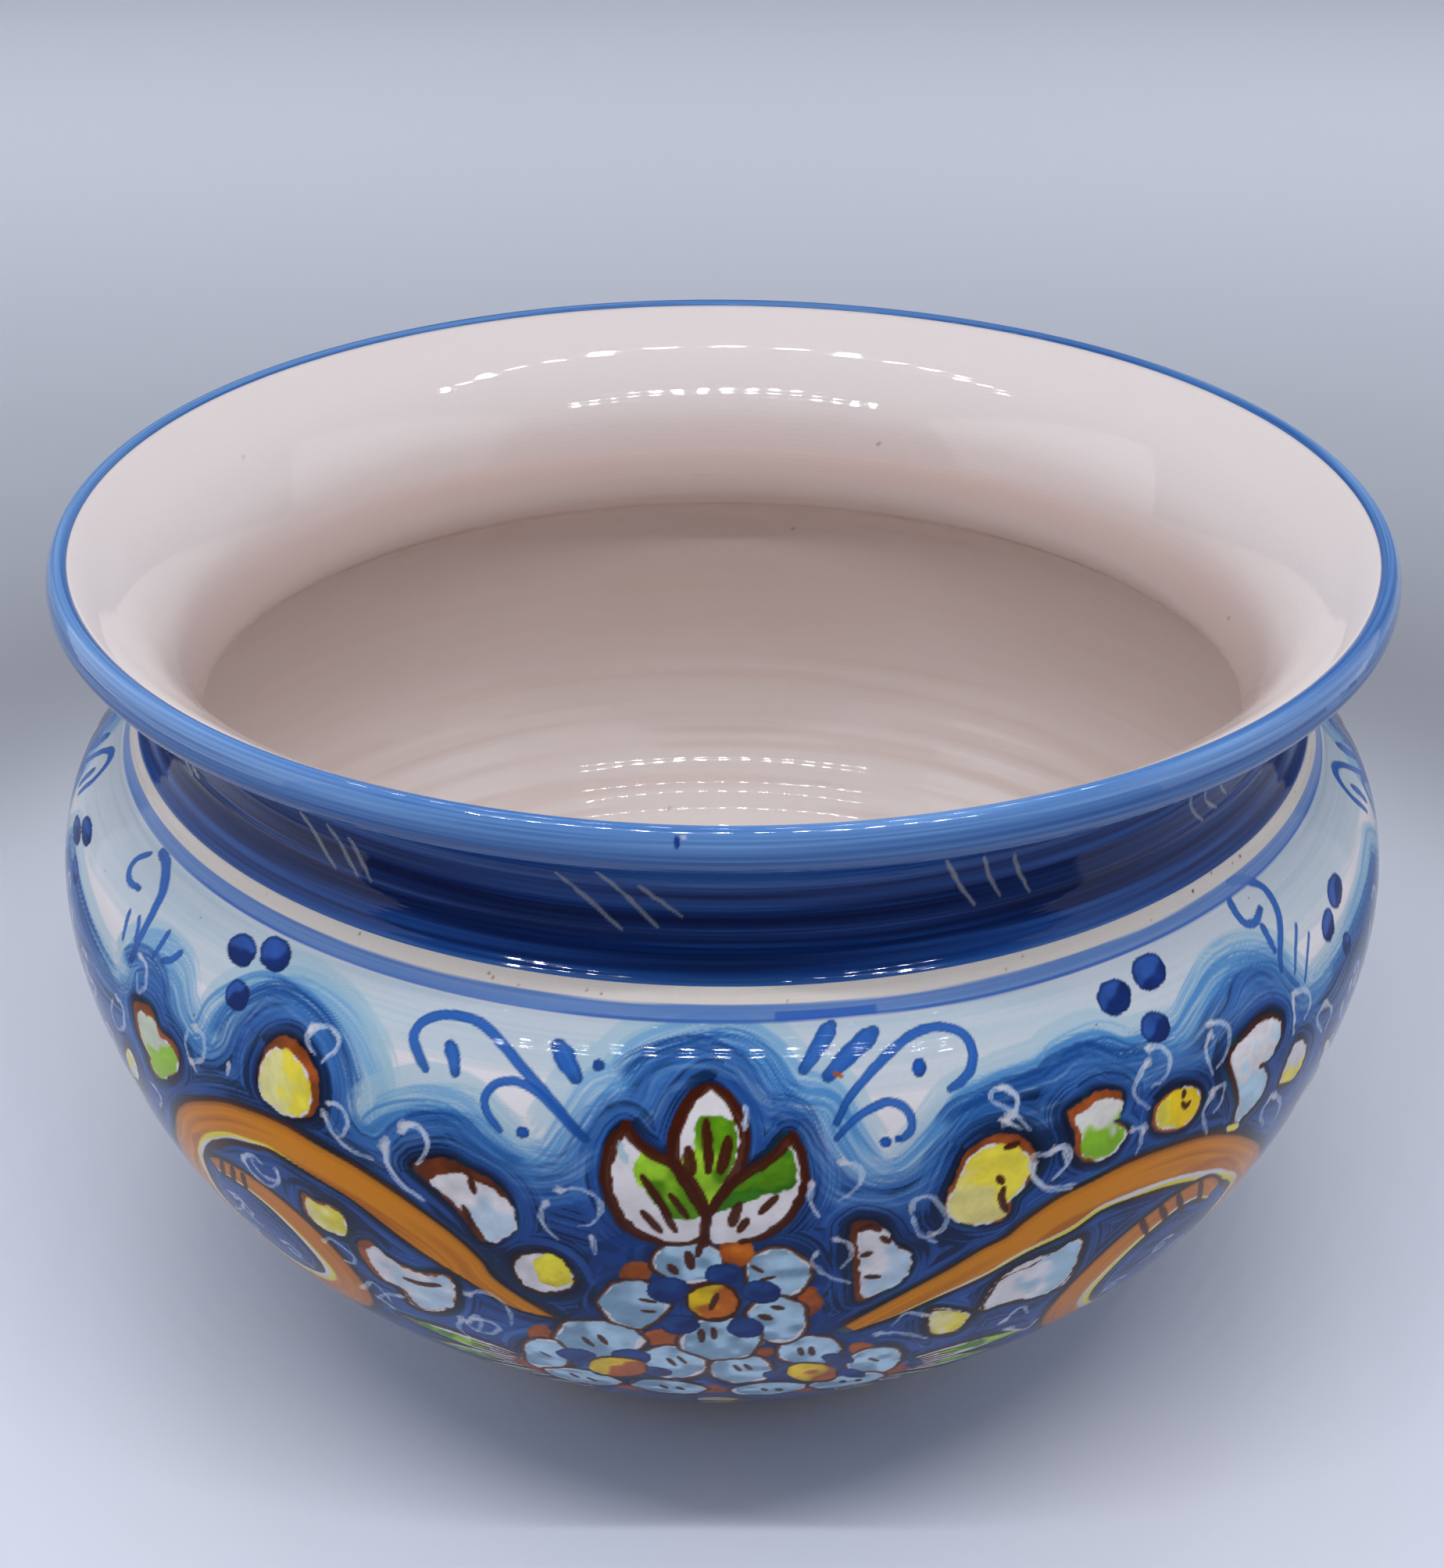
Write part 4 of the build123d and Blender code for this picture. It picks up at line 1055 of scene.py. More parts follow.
    k = np.clip(0.38 + 0.95 * (m1 - 0.5) + 0.85 * (m2 - 0.5) + 1.15 * (m3 - 0.5), 0, 1)[..., None]
    ground = np.array(DEEP, np.float32) * (1 - k) + np.array(DEEP2, np.float32) * k
    ground = ground * (1 - 0.42 * step(0.26, 0.04, k))
    ground = ground + (np.array(WAVE, np.float32) - ground) * (0.45 * step(0.72, 0.95, k))
    # thin and lighter next to the wave, so that the brush marks and the white show through
    thin = step(-15.0, -1.0, d + 7.0 * (noise(way / 12.0, bent / 3.0, 46) - 0.5)) * step(1.5, 4.5, flow)
    thin = (thin * (0.50 + 0.75 * (m1 - 0.5) + 0.5 * (bristle2 - 0.5)))[..., None].clip(0, 1)
    ground = ground + (np.array((74, 126, 184), np.float32) - ground) * thin
    a = step(0.8, -3.4, d + 4.2 * (mix - 0.5))
    g.lay(rows, cols, ground, a * (0.97 - 0.30 * thin[..., 0] * step(0.4, 0.7, bristle)), 0.35)
    # lines of darker blue where the brush turned at the crests
    a = 0.35 * step(0.62, 0.8, bristle2) * step(3.2, 0.6, np.abs(d + 1.8))
    g.lay(rows, cols, DEEP, a)
    # and pale ones where it ran dry on the slopes
    slope = step(0.25, 0.6, noise(way / 13.0, 0 * d, 41))
    a = 0.34 * slope * step(0.56, 0.74, mix) * step(9.5, 2.0, -d) * step(-1.0, 1.5, -d)
    g.lay(rows, cols, (118, 164, 206), a)

    # dark ink pooled round each outline
    for h in hands:
        for i, p in enumerate(h.outlines):
            f = g.field(p, 4.2)
            if f is None:
                continue
            rr, cc, t, dd, al, q = f
            wet = 1.3 + 2.3 * noise(al / 9.0, 0 * al + i, 21)
            a = 0.78 * step(wet, wet * 0.15, -dd) * (dd < 0.4)
            gb = step(0.55, 0.75, noise(al / 6.0, 0 * al + i + 9.0, 22))[..., None]
            g.lay(rr, cc, np.array(SOOT) * (1 - gb) + np.array((14, 44, 44)) * gb, a)

    # motifs
    for h in hands:
        motifs(h)
        if h.squeeze == 1.0:
            tendrils(h)
        curls(h)
    tendrils(Hand(g, SIDES[0][0], 1, 0.66, 71))
    tendrils(Hand(g, SIDES[1][0], -1, 0.6, 83))

    # towards the foot: the blue thins out in brushed lines, then plain cream and two lines
    fade = noise(around(T, 24), S / 0.55, 24, 24)
    low_edge = 25.0 + 1.2 * (noise(around(T, 50), 0 * S, 25, 50) - 0.5)
    a = step(low_edge + 4.5, low_edge + 1.0, S + 4.0 * (fade - 0.5))
    g.lay(rows, cols, CELESTE2, a * (0.7 + 0.3 * fade))
    a = step(low_edge + 1.5, low_edge - 1.5, S + 2.0 * (fade - 0.5))
    g.lay(rows, cols, WHITE, a * (0.75 + 0.25 * fade))
    fz = s_of(8.6)
    e = 0.5 * (noise(around(T, 30), 0 * S, 25, 30) - 0.5)
    a = step(fz + 0.3 + e, fz - 0.3 + e, S + 0 * T)
    g.lay(rows, cols, CREAM, a)
    for mid, half in ((fz + 4.2, 1.5), (fz, 0.5)):
        line = step(half + 0.15, half - 0.15, np.abs(S - mid - e)) * (0.75 + 0.25 * lines)
        g.lay(rows, cols, STRIPE, line, 0.5)

    # cream at the neck, and the stripe under it
    e1 = 0.35 * (noise(around(T, 46), 0 * S, 26, 46) - 0.5)
    e2 = 0.7 * (noise(around(T, 34), 0 * S, 27, 34) - 0.5)
    g.lay(rows, cols, CREAM, step(s_stripe - 0.15 + e1, s_stripe + 0.15 + e1, S + 0 * T))
    hair = noise(around(T, 20), S / 0.28, 28, 20)
    inside = step(s_low - 0.15 + e2, s_low + 0.15 + e2, S) * step(s_stripe + 0.15 + e1, s_stripe - 0.15 + e1, S)
    g.lay(rows, cols, STRIPE, inside * (0.80 + 0.20 * hair), 0.5)
    low = step(0.55, 0.1, np.abs(S - s_low - 0.25 - e2)) * step(0.3, 0.6, noise(around(T, 16), 0 * S, 29, 16))
    g.lay(rows, cols, (58, 100, 176), low * 0.8)
    g.lay(rows, cols, (62, 104, 180), inside * 0.5 * step(0.55, 0.75, noise(around(T, 12), S / 2.2, 30, 12)))
    seam = at([(1058, 1299)])[0, 0]
    over = inside * step(0.075, 0.068, np.abs(T - seam)) * step(s_stripe - 1.1, s_stripe - 1.5, S)
    g.lay(rows, cols, (52, 96, 182), over * 0.75)
    # pinholes and specks of iron in the white
    rs = np.random.RandomState(5)
    for _ in range(70):
        ang, zz = rs.uniform(-math.pi, math.pi), rs.choice([rs.uniform(120, 146), rs.uniform(150.6, 153)])
        size = rs.uniform(0.14, 0.3)
        q = np.array([[ang, s_of(zz)], [ang + size / 145, s_of(zz) + size * 0.5]])
        g.brush(q, size * 2, BARK, alpha=0.75, smooth=False, soft=0.2)
    for x, y in ((1280 + 765 / 3.0745, 1060 + 245 / 3.0745), (1280 + 950 / 3.0745, 1060 + 110 / 3.0745)):
        q = at([(x, y), (x + 1.5, y + 1)])
        g.brush(q, 0.9, (96, 40, 26), alpha=0.9, smooth=False, soft=0.15)
    return g


def paint_neck(theta, s, r, z):
    """Streaky deep blue turned on the wheel, thin over the cove, with scratched ticks."""
    g = Glaze(theta, s, r, z, NIGHT)
    T, S, Z = theta[None, :], s[:, None], z[:, None]
    rows, cols = np.arange(len(s)), np.arange(len(theta))
    fine = noise(around(T, 22), Z / 0.42, 31, 22)
    broad = noise(around(T, 12), Z / 1.5, 32, 12)
    k = np.interp(z, [153.3, 156.6, 157.6, 160, 163.5, 168, 172.5, 175, 178, 181, 184.6],
                  [0.44, 0.36, 0.24, 0.22, 0.26, 0.36, 0.36, 0.42, 0.60, 0.80, 0.9])[:, None]
    k = np.clip(k + 0.50 * (fine - 0.5) + 0.42 * (broad - 0.5), 0, 1.05)[..., None]
    dark, mid, pale = np.array((6, 28, 80)), np.array((34, 80, 152)), np.array((84, 134, 196))
    c = np.where(k < 0.5, dark + (mid - dark) * k * 2, mid + (pale - mid) * (k - 0.5) * 2)
    g.c[:] = c
    wash = 0.08 * step(0.55, 0.85, noise(around(T, 7), Z / 9.0, 33, 7)) * step(173, 178, Z)
    g.lay(rows, cols, (96, 100, 116), wash * (0.5 + 0.5 * fine))
    g.ink[:] = 0.5 + 0.4 * (fine - 0.5)

    groups = [[(236, 973), (240, 982), (245, 991)], [(246, 980), (250, 988), (254, 996)],
              [(384.5, 1040), (406, 1072), (428.5, 1111)], [(418, 1055), (438, 1084), (457, 1121)], [(445, 1072), (460, 1096), (474, 1128)],
              [(711, 1117), (752, 1150), (796, 1190)], [(762, 1116), (805, 1150), (842, 1187)], [(818, 1134), (846, 1154), (874, 1174)],
              [(1212, 1101), (1228, 1130), (1248, 1158)], [(1261, 1097), (1268, 1122), (1281, 1146)], [(1300, 1094), (1306, 1118), (1319, 1141)],
              [(1528, 1018), (1525.7, 1030.5), (1530.3, 1041), (1541.7, 1049.7)], [(1546.3, 1010.6), (1544, 1021), (1548.6, 1029), (1559.4, 1033.6)],
              [(1564.7, 1002), (1565.5, 1009), (1570.8, 1015)]]
    rs = np.random.RandomState(9)
    drawn = [at(p, "neck") for p in groups]
    for base in np.radians([96, 128, 158, 187, 219, 246, 272]):
        sgn = rs.choice([-1, 1])
        for i in range(3):
            a0 = base + (i - 1) * 0.05 + rs.uniform(-0.006, 0.006)
            z0 = 166.5 + rs.uniform(-1, 1.5)
            drawn.append(np.array([[a0, np.interp(z0 + 2, z, s)], [a0 + sgn * 0.018, np.interp(z0 - 2, z, s)],
                                   [a0 + sgn * 0.045, np.interp(z0 - 6.5, z, s)]]))
    for i, p in enumerate(drawn):
        g.brush(p, 0.85, (186, 180, 172), alpha=0.92, taper=(0.12, 0.35), rough=0.45, streak=0.3, seed=60 + i, soft=0.15, tip=0.35)
    return g


def paint_rim(theta, s, r, z):
    """The lip: one soft blue, lighter along its crest, pulled round in fine streaks."""
    g = Glaze(theta, s, r, z, STRIPE)
    T, S = theta[None, :], s[:, None]
    rows, cols = np.arange(len(s)), np.arange(len(theta))
    total = s[-1]
    fine = noise(around(T, 26), S / 0.30, 41, 26)
    broad = noise(around(T, 9), S / 1.3, 42, 9)
    u = s / total
    k = np.interp(u, [0, 0.2, 0.42, 0.58, 0.75, 0.92, 1], [0.30, 0.14, 0.14, 0.36, 0.66, 0.50, 0.3])[:, None]
    k = np.clip(k + 0.55 * (fine - 0.5) + 0.45 * (broad - 0.5), 0, 1)[..., None]
    deep, pale = np.array((36, 80, 146)), np.array((124, 162, 208))
    g.c[:] = deep + (pale - deep) * k
    g.ink[:] = 0.5
    # a drop of thicker blue and a chip on the front
    drop = at([(866, 1071), (867, 1079), (866, 1085)], "rim")
    g.brush(drop, 1.0, (14, 44, 112), alpha=0.95, taper=(0.1, 0.3), seed=3, smooth=False)
    chip = at([(872, 1070), (878, 1071)], "rim")
    g.brush(chip, 1.2, (206, 190, 196), alpha=0.8, rough=0.5, seed=4, smooth=False)
    # runs and bare spots at the right
    for pts, w, c in (([(1738, 868), (1746, 858), (1752, 846)], 1.6, (132, 152, 186)), ([(1700, 905), (1716, 893), (1728, 880)], 1.1, (120, 160, 216)),
                      ([(1385, 437), (1410, 440)], 1.4, (22, 62, 140))):
        g.brush(at(pts, "rim"), w, c, alpha=0.7, rough=0.5, streak=0.5, seed=7)
    return g


def paint_lining(theta, s, r, z):
    """Milky white inside, warmer where it thins over the turning rings and the throat; painted shade makes it warmer
    and darker down inside, on the wall under the shoulder and most of all at the throat, and painted light makes it
    whiter towards the floor.
    """
    g = Glaze(theta, s, r, z, (217, 207, 204))
    T, S, Z = theta[None, :], s[:, None], z[:, None] + 0 * theta[None, :]
    rows, cols = np.arange(len(s)), np.arange(len(theta))
    # painted shade: warmer and a little darker from below the flare down inside the bowl, plus random warmer patches of
    # the glaze's own tone
    warm_tint_and_inner_shade = step(176, 150, Z) * 0.55 + 0.25 * step(0.45, 0.8, noise(around(T, 8), S / 26.0, 51, 8))
    g.lay(rows, cols, (214, 192, 182), np.clip(warm_tint_and_inner_shade * (0.7 + 0.5 * noise(around(T, 30), S / 3.0, 52, 30)), 0, 1) * 0.6)
    # painted shade: browner and darker on the wall inside, under the shoulder
    g.lay(rows, cols, (176, 150, 140), 0.30 * step(156, 146, Z) * step(60, 120, Z))
    # painted light: whiter towards the floor, on the lower wall inside
    g.lay(rows, cols, (234, 226, 223), 0.85 * step(105, 45, Z))
    # painted shade: the throat, where the flare turns down, is the warmest and least white
    g.lay(rows, cols, (190, 166, 160), 0.42 * step(178, 166, Z) * step(148, 158, Z))
    thin = step(6.5, 1.5, np.abs(Z - 159.5)) * (0.4 + 0.6 * noise(around(T, 12), S / 7.0, 53, 12))
    g.lay(rows, cols, (206, 172, 158), thin * 0.35)
    rings = step(0.62, 0.85, noise(around(T, 14), S / 2.4, 54, 14)) * step(160, 150, Z)
    g.lay(rows, cols, (204, 178, 166), rings * 0.22)
    rs = np.random.RandomState(12)
    for _ in range(26):
        ang, zz = rs.uniform(-math.pi, math.pi), rs.uniform(30, 190)
        k = int(np.argmin(np.abs(z - zz)))
        q = np.array([[ang, s[k]], [ang + 0.003, s[k] + 0.2]])
        g.brush(q, rs.uniform(0.5, 0.9), (120, 84, 66), alpha=0.6, smooth=False, soft=0.25)
    return g


# ---------------------------------------------------------------- the turned meshes
FINE, SIDE = ((0.36, 0.62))
GLAZE_DEPTH = 0.45


def columns():
    """Angles round the pot, closer together over the front half."""
    lim = math.radians(84)
    nf = int(round(2 * lim * 153 / FINE / 2)) * 2
    nb = int(round((2 * math.pi - 2 * lim) * 153 / SIDE / 2)) * 2
    t = np.r_[np.linspace(-lim, lim, nf, endpoint=False),
              np.linspace(lim, 2 * math.pi - lim, nb, endpoint=False)]
    return np.sort((t + math.pi) % (2 * math.pi) - math.pi)


def waver(theta, z):
    """How far the thrown wall stands in from a true circle, in mm: 0 to 0.3."""
    t = theta
    a = 0.15 + 0.05 * np.sin(2 * t + 0.7) + 0.035 * np.sin(3 * t + 2.1 + z / 60) + 0.03 * np.sin(5 * t - z / 45 + 0.4)
    return a + 0.02 * np.sin(9 * t + z / 23 + 1.9)


def dip(theta, z):
    """How far the lip sinks below its highest plane."""
    k = step(150, 192, z)
    return k * (0.16 + 0.07 * np.sin(2 * theta + 2.4) + 0.05 * np.sin(3 * theta + 0.3) + 0.03 * np.sin(7 * theta + 1.0))


def revolve(name, theta, rows, back_rows, fold, pole=False):
    """A closed skin: rows are its shown side, back_rows its hidden one, each (r, z) in mm,
    followed in one loop. With pole, the loop crosses the axis between the two sides.
    fold is how many sectors side by side, and one above the other, its flat map has."""
    both = np.r_[rows, back_rows]
    n, c, last = len(both), len(theta), len(rows) - 1
    rr, zz = both[:, :1] + 0 * theta[None, :], both[:, 1:] + 0 * theta[None, :]
    rr = rr - waver(theta[None, :], zz) * np.clip(rr / 30, 0, 1)
    zz = zz - dip(theta[None, :], zz)
    xyz = np.stack([rr * np.sin(theta), -rr * np.cos(theta), zz], -1).reshape(-1, 3) / 1000
    if pole:
        xyz = np.r_[xyz, [[0, 0, rows[-1, 1] / 1000], [0, 0, back_rows[0, 1] / 1000]]]
    band = np.arange(n)
    if pole:
        band = np.delete(band, last)
    i, up = band[:, None] * c, ((band + 1) % n)[:, None] * c
    j = np.arange(c)
    jn = (j + 1) % c
    quads = np.stack([i + j, i + jn, up + jn, up + j], -1).reshape(-1, 4)
    flat = np.ones(len(quads), bool)
    flat.reshape(-1, c)[:last] = False
    loops, starts = quads.reshape(-1), np.arange(len(quads)) * 4
    if pole:
        fan0 = np.stack([last * c + j, last * c + jn, np.full(c, n * c)], -1)
        fan1 = np.stack([np.full(c, n * c + 1), (last + 1) * c + jn, (last + 1) * c + j], -1)
        starts = np.r_[starts, len(loops) + np.arange(2 * c) * 3]
        loops = np.r_[loops, fan0.reshape(-1), fan1.reshape(-1)]
        flat = np.r_[flat, np.zeros(c, bool), np.ones(c, bool)]
    mesh = bpy.data.meshes.new(name)
    mesh.vertices.add(len(xyz))
    mesh.vertices.foreach_set("co", xyz.astype(np.float32).reshape(-1))
    mesh.loops.add(len(loops))
    mesh.loops.foreach_set("vertex_index", loops.astype(np.int32))
    mesh.polygons.add(len(starts))
    mesh.polygons.foreach_set("loop_start", starts.astype(np.int32))
    mesh.update(calc_edges=True)
    mesh.polygons.foreach_set("use_smooth", ~flat)
    mesh.update()
    # the flat map: sectors of the round, each with its shown side below and its hidden one on top
    across, up_ = fold
    sector = (theta + math.pi) / (2 * math.pi) * across * up_
    cell = np.floor(sector + 1e-9).astype(int)
    after = np.r_[sector[1:], across * up_]
    span = lambda x: (cell % across + 0.008 + 0.98 * (x - cell)) / across
    u0, u1, base = span(sector), span(after), (cell // across) / up_
    front, hid = lengths(rows), lengths(back_rows)
    v0 = np.r_[0.008 + 0.87 * front / front[-1], 0.90 + 0.075 * hid / hid[-1]]
    v1 = np.r_[v0[1:], v0[-1] + 0.008]
    lo, hi = v0[band][:, None] / up_ + base, v1[band][:, None] / up_ + base
    wide = np.broadcast_to
    uv = np.stack([wide(u0, lo.shape), lo, wide(u1, lo.shape), lo, wide(u1, lo.shape), hi, wide(u0, lo.shape), hi], -1).reshape(-1, 2)
    if pole:
        m, e = (u0 + u1) / 2, 0.004 / up_
        a, b = v0[last] / up_ + base, v0[last + 1] / up_ + base
        uv = np.r_[uv, np.stack([u0, a, u1, a, m, a + e], -1).reshape(-1, 2), np.stack([m, b - e, u1, b, u0, b], -1).reshape(-1, 2)]
    layer = mesh.uv_layers.new(name="OFBake", do_init=False)
    layer.uv.foreach_set("vector", uv.astype(np.float32).reshape(-1))
    obj = bpy.data.objects.new(name, mesh)
    bpy.context.scene.collection.objects.link(obj)
    return obj


def linear(c):
    c = np.clip(c, 0, 255) / 255.0
    return np.where(c <= 0.04045, c / 12.92, ((c + 0.055) / 1.055) ** 2.4)


def colour(obj, glaze, hidden, poles=False):
    """Puts the paint and its thickness on the mesh, row for row."""
    mesh = obj.data
    c = glaze.c.shape[1]
    count = len(mesh.vertices)
    rgba = np.ones((count, 4), np.float32)
    shown = glaze.c.shape[0] * c
    rgba[:shown, :3] = linear(glaze.c).reshape(-1, 3)
    rgba[shown:, :3] = linear(np.array(hidden, float))
    if poles:
        rgba[-2, :3] = linear(glaze.c[-1].mean(0))
    paint = mesh.color_attributes.new("paint", "FLOAT_COLOR", "POINT")
    paint.data.foreach_set("color", rgba.reshape(-1))
    ink = np.zeros(count, np.float32)
    ink[:shown] = glaze.ink.reshape(-1)
    layer = mesh.attributes.new("ink", "FLOAT", "POINT")
    layer.data.foreach_set("value", ink)


def inward(rows, depth, count):
    """The hidden side of a skin: the same outline depth mm further in, in fewer rows, reversed."""
    t = np.gradient(rows, axis=0)
    t /= np.linalg.norm(t, axis=1)[:, None]
    off = rows - depth * np.c_[t[:, 1], -t[:, 0]]
    return off[np.linspace(len(off) - 1, 0, count).astype(int)]


THETA = columns()
WIDE = THETA[::2]


def grooved(rows, s, marks):
    """Sinks shallow turned grooves and leaves beads: (height, width, depth) each."""
    out = rows.copy()
    t = np.gradient(rows, axis=0)
    t /= np.linalg.norm(t, axis=1)[:, None]
    normal = np.c_[t[:, 1], -t[:, 0]]
    cut = np.zeros(len(rows))
    for z, w, depth in marks:
        u = np.clip((rows[:, 1] - z) / w, -1, 1)
        cut += depth * 0.5 * (1 + np.cos(math.pi * u))
    return out - normal * np.minimum(cut, 0.42)[:, None]


# the belly
rows, s_belly = evenly(spline(BELLY), FINE)
belly_rows = grooved(rows, s_belly, [(151.75, 1.5, 0.26), (146.7, 0.9, 0.16)])
belly = revolve("belly_glaze_painted", THETA, belly_rows, inward(rows, GLAZE_DEPTH, 40), (2, 2))
belly_glaze = paint_belly(THETA, s_belly, rows[:, 0], rows[:, 1])
colour(belly, belly_glaze, (214, 206, 200))

# the neck, with its two turned ribs
rows, s_neck = evenly(spline(NECK), FINE * 1.1)
neck_rows = grooved(rows, s_neck, [(160.2, 2.6, 0.3), (155.2, 1.7, 0.22), (166.4, 1.8, 0.12), (171.5, 2.0, 0.06)])
neck = revolve("neck_glaze_banded", THETA, neck_rows, inward(rows, GLAZE_DEPTH, 16), (1, 6))
neck_paint = paint_neck(THETA, s_neck, rows[:, 0], rows[:, 1])
colour(neck, neck_paint, (30, 50, 90))

# the lip
rows, s_rim = evenly(spline(RIM), FINE)
rim = revolve("rim_glaze_blue", THETA, rows, inward(rows, GLAZE_DEPTH, 12), (1, 8))
rim_paint = paint_rim(THETA, s_rim, rows[:, 0], rows[:, 1])
colour(rim, rim_paint, (80, 110, 160))

# the lining, from the middle of its floor up to the lip
outer = np.array(BELLY[3:23], float)
wall = [(58, 13.5), (66, 13.8), (73, 14.7)]
t = np.gradient(outer, axis=0)
t /= np.linalg.norm(t, axis=1)[:, None]
wall += [tuple(p) for p in outer - 8.0 * np.c_[t[:, 1], -t[:, 0]]]
wall += [(141.4, 133.4), (136.8, 138.2), (130.9, 142), (125.4, 145.3), (121.5, 149.2)] + FLARE
line = spline(wall)
inner, s_in = evenly(np.r_[np.c_[np.linspace(0.8, 57.5, 60), np.full(60, 13.5)], line], 0.9)


def rings(rows, s):
    """Throwing rings: soft ridges a finger apart, standing in from the wall."""
    z, r = rows[:, 1], rows[:, 0]
    t = np.gradient(rows, axis=0)
    t /= np.linalg.norm(t, axis=1)[:, None]
    normal = np.c_[-t[:, 1], t[:, 0]]
    phase = np.interp(s, [0, 60, 90, 130, 170, 215, 260, 330], [0, 4.6, 8.4, 13.4, 18.0, 22.2, 25.6, 30.0])
    wave = 0.5 + 0.5 * np.sin(2 * math.pi * phase) + 0.16 * np.sin(2 * math.pi * phase * 2.3 + 1.0)
    size = np.interp(s, [0, 15, 60, 120, 190, 225, 260], [0.0, 0.25, 0.42, 0.40, 0.20, 0.06, 0.0])
    return rows + normal * np.clip(wave * size, 0, 0.6)[:, None]


shown = rings(inner, s_in)
hidden = inner + GLAZE_DEPTH * np.c_[np.gradient(inner, axis=0)[:, 1], -np.gradient(inner, axis=0)[:, 0]] / np.linalg.norm(np.gradient(inner, axis=0), axis=1)[:, None]
hidden = hidden[np.linspace(0, len(hidden) - 1, 60).astype(int)]
lining = revolve("lining_glaze_white", WIDE, shown[::-1], hidden, (2, 2), pole=True)
lining_paint = paint_lining(WIDE, s_in, inner[:, 0], inner[:, 1])
lining_paint.c = lining_paint.c[::-1]
lining_paint.ink = lining_paint.ink[::-1]
colour(lining, lining_paint, (206, 190, 182), poles=True)

PIECES = [(belly, "belly_glaze", "painted_glaze"), (neck, "neck_glaze", "dark_blue_glaze"),
          (rim, "rim_glaze", "blue_glaze"), (lining, "lining_glaze", "white_glaze")]


# ---------------------------------------------------------------- materials
def nodes_of(name):
    m = bpy.data.materials.new(name)
    m.use_nodes = True
    t = m.node_tree
    t.nodes.clear()
    out = t.nodes.new("ShaderNodeOutputMaterial")
    b = t.nodes.new("ShaderNodeBsdfPrincipled")
    t.links.new(b.outputs["BSDF"], out.inputs["Surface"])
    return m, t, b


def noise_node(t, vector, scale, detail=3.0, rough=0.5):
    n = t.nodes.new("ShaderNodeTexNoise")
    n.inputs["Scale"].default_value = scale
    n.inputs["Detail"].default_value = detail
    n.inputs["Roughness"].default_value = rough
    t.links.new(vector, n.inputs["Vector"])
    return n.outputs["Fac"]


def maths(t, op, a, b=None, clamp=False):
    n = t.nodes.new("ShaderNodeMath")
    n.operation, n.use_clamp = op, clamp
    for k, v in enumerate((a, b)):
        if v is None:
            continue
        if isinstance(v, (int, float)):
            n.inputs[k].default_value = v
        else:
            t.links.new(v, n.inputs[k])
    return n.outputs[0]


def glazed(name, rough, ridge, ripple, sheen_rough=0.02, tint=0.05, ridge_mm=0.62, gloss=0.24):
    """Fired glaze over paint: the paint from the mesh, orange-peel ripple, fine turning lines,
    and paint that stands a little proud and a little less glossy where it is thick."""
    m, t, b = nodes_of(name)
    geo = t.nodes.new("ShaderNodeTexCoord")
    where = geo.outputs["Object"]
    paint = t.nodes.new("ShaderNodeAttribute")
    paint.attribute_name = "paint"
    ink = t.nodes.new("ShaderNodeAttribute")
    ink.attribute_name = "ink"
    grain = noise_node(t, where, 900.0, 3.0, 0.6)
    cloud = noise_node(t, where, 60.0, 3.0, 0.5)
    k = maths(t, "ADD", maths(t, "MULTIPLY", grain, tint * 1.6), maths(t, "MULTIPLY", cloud, tint))
    k = maths(t, "ADD", k, 1.0 - tint * 1.3)
    mul = t.nodes.new("ShaderNodeVectorMath")
    mul.operation = "SCALE"
    t.links.new(paint.outputs["Color"], mul.inputs[0])
    t.links.new(k, mul.inputs["Scale"])
    t.links.new(mul.outputs[0], b.inputs["Base Color"])
    r = maths(t, "ADD", maths(t, "MULTIPLY", noise_node(t, where, 240.0, 2.0), 0.03), rough - 0.015)
    r = maths(t, "ADD", r, maths(t, "MULTIPLY", ink.outputs["Fac"], sheen_rough))
    t.links.new(r, b.inputs["Roughness"])
    b.inputs["IOR"].default_value = 1.5
    b.inputs["Specular IOR Level"].default_value = gloss
    # height in millimetres
    part = t.nodes.new("ShaderNodeSeparateXYZ")
    t.links.new(where, part.inputs[0])
    lift = maths(t, "ADD", maths(t, "MULTIPLY", part.outputs["Z"], 1000.0 / ridge_mm * 2 * math.pi),
                 maths(t, "MULTIPLY", noise_node(t, where, 55.0, 2.0), 9.0))
    lines = maths(t, "MULTIPLY", maths(t, "SINE", lift), ridge)
    patchy = maths(t, "MULTIPLY", lines, noise_node(t, where, 38.0, 1.0))
    big = maths(t, "MULTIPLY", noise_node(t, where, 95.0, 2.0), ripple)
    small = maths(t, "MULTIPLY", noise_node(t, where, 420.0, 2.0), ripple * 0.22)
    h = maths(t, "ADD", maths(t, "ADD", patchy, big), small)
    h = maths(t, "ADD", h, maths(t, "MULTIPLY", ink.outputs["Fac"], 0.012))
    bump = t.nodes.new("ShaderNodeBump")
    bump.inputs["Strength"].default_value = 1.0
    bump.inputs["Distance"].default_value = 0.001
    t.links.new(h, bump.inputs["Height"])
    t.links.new(bump.outputs["Normal"], b.inputs["Normal"])
    return m


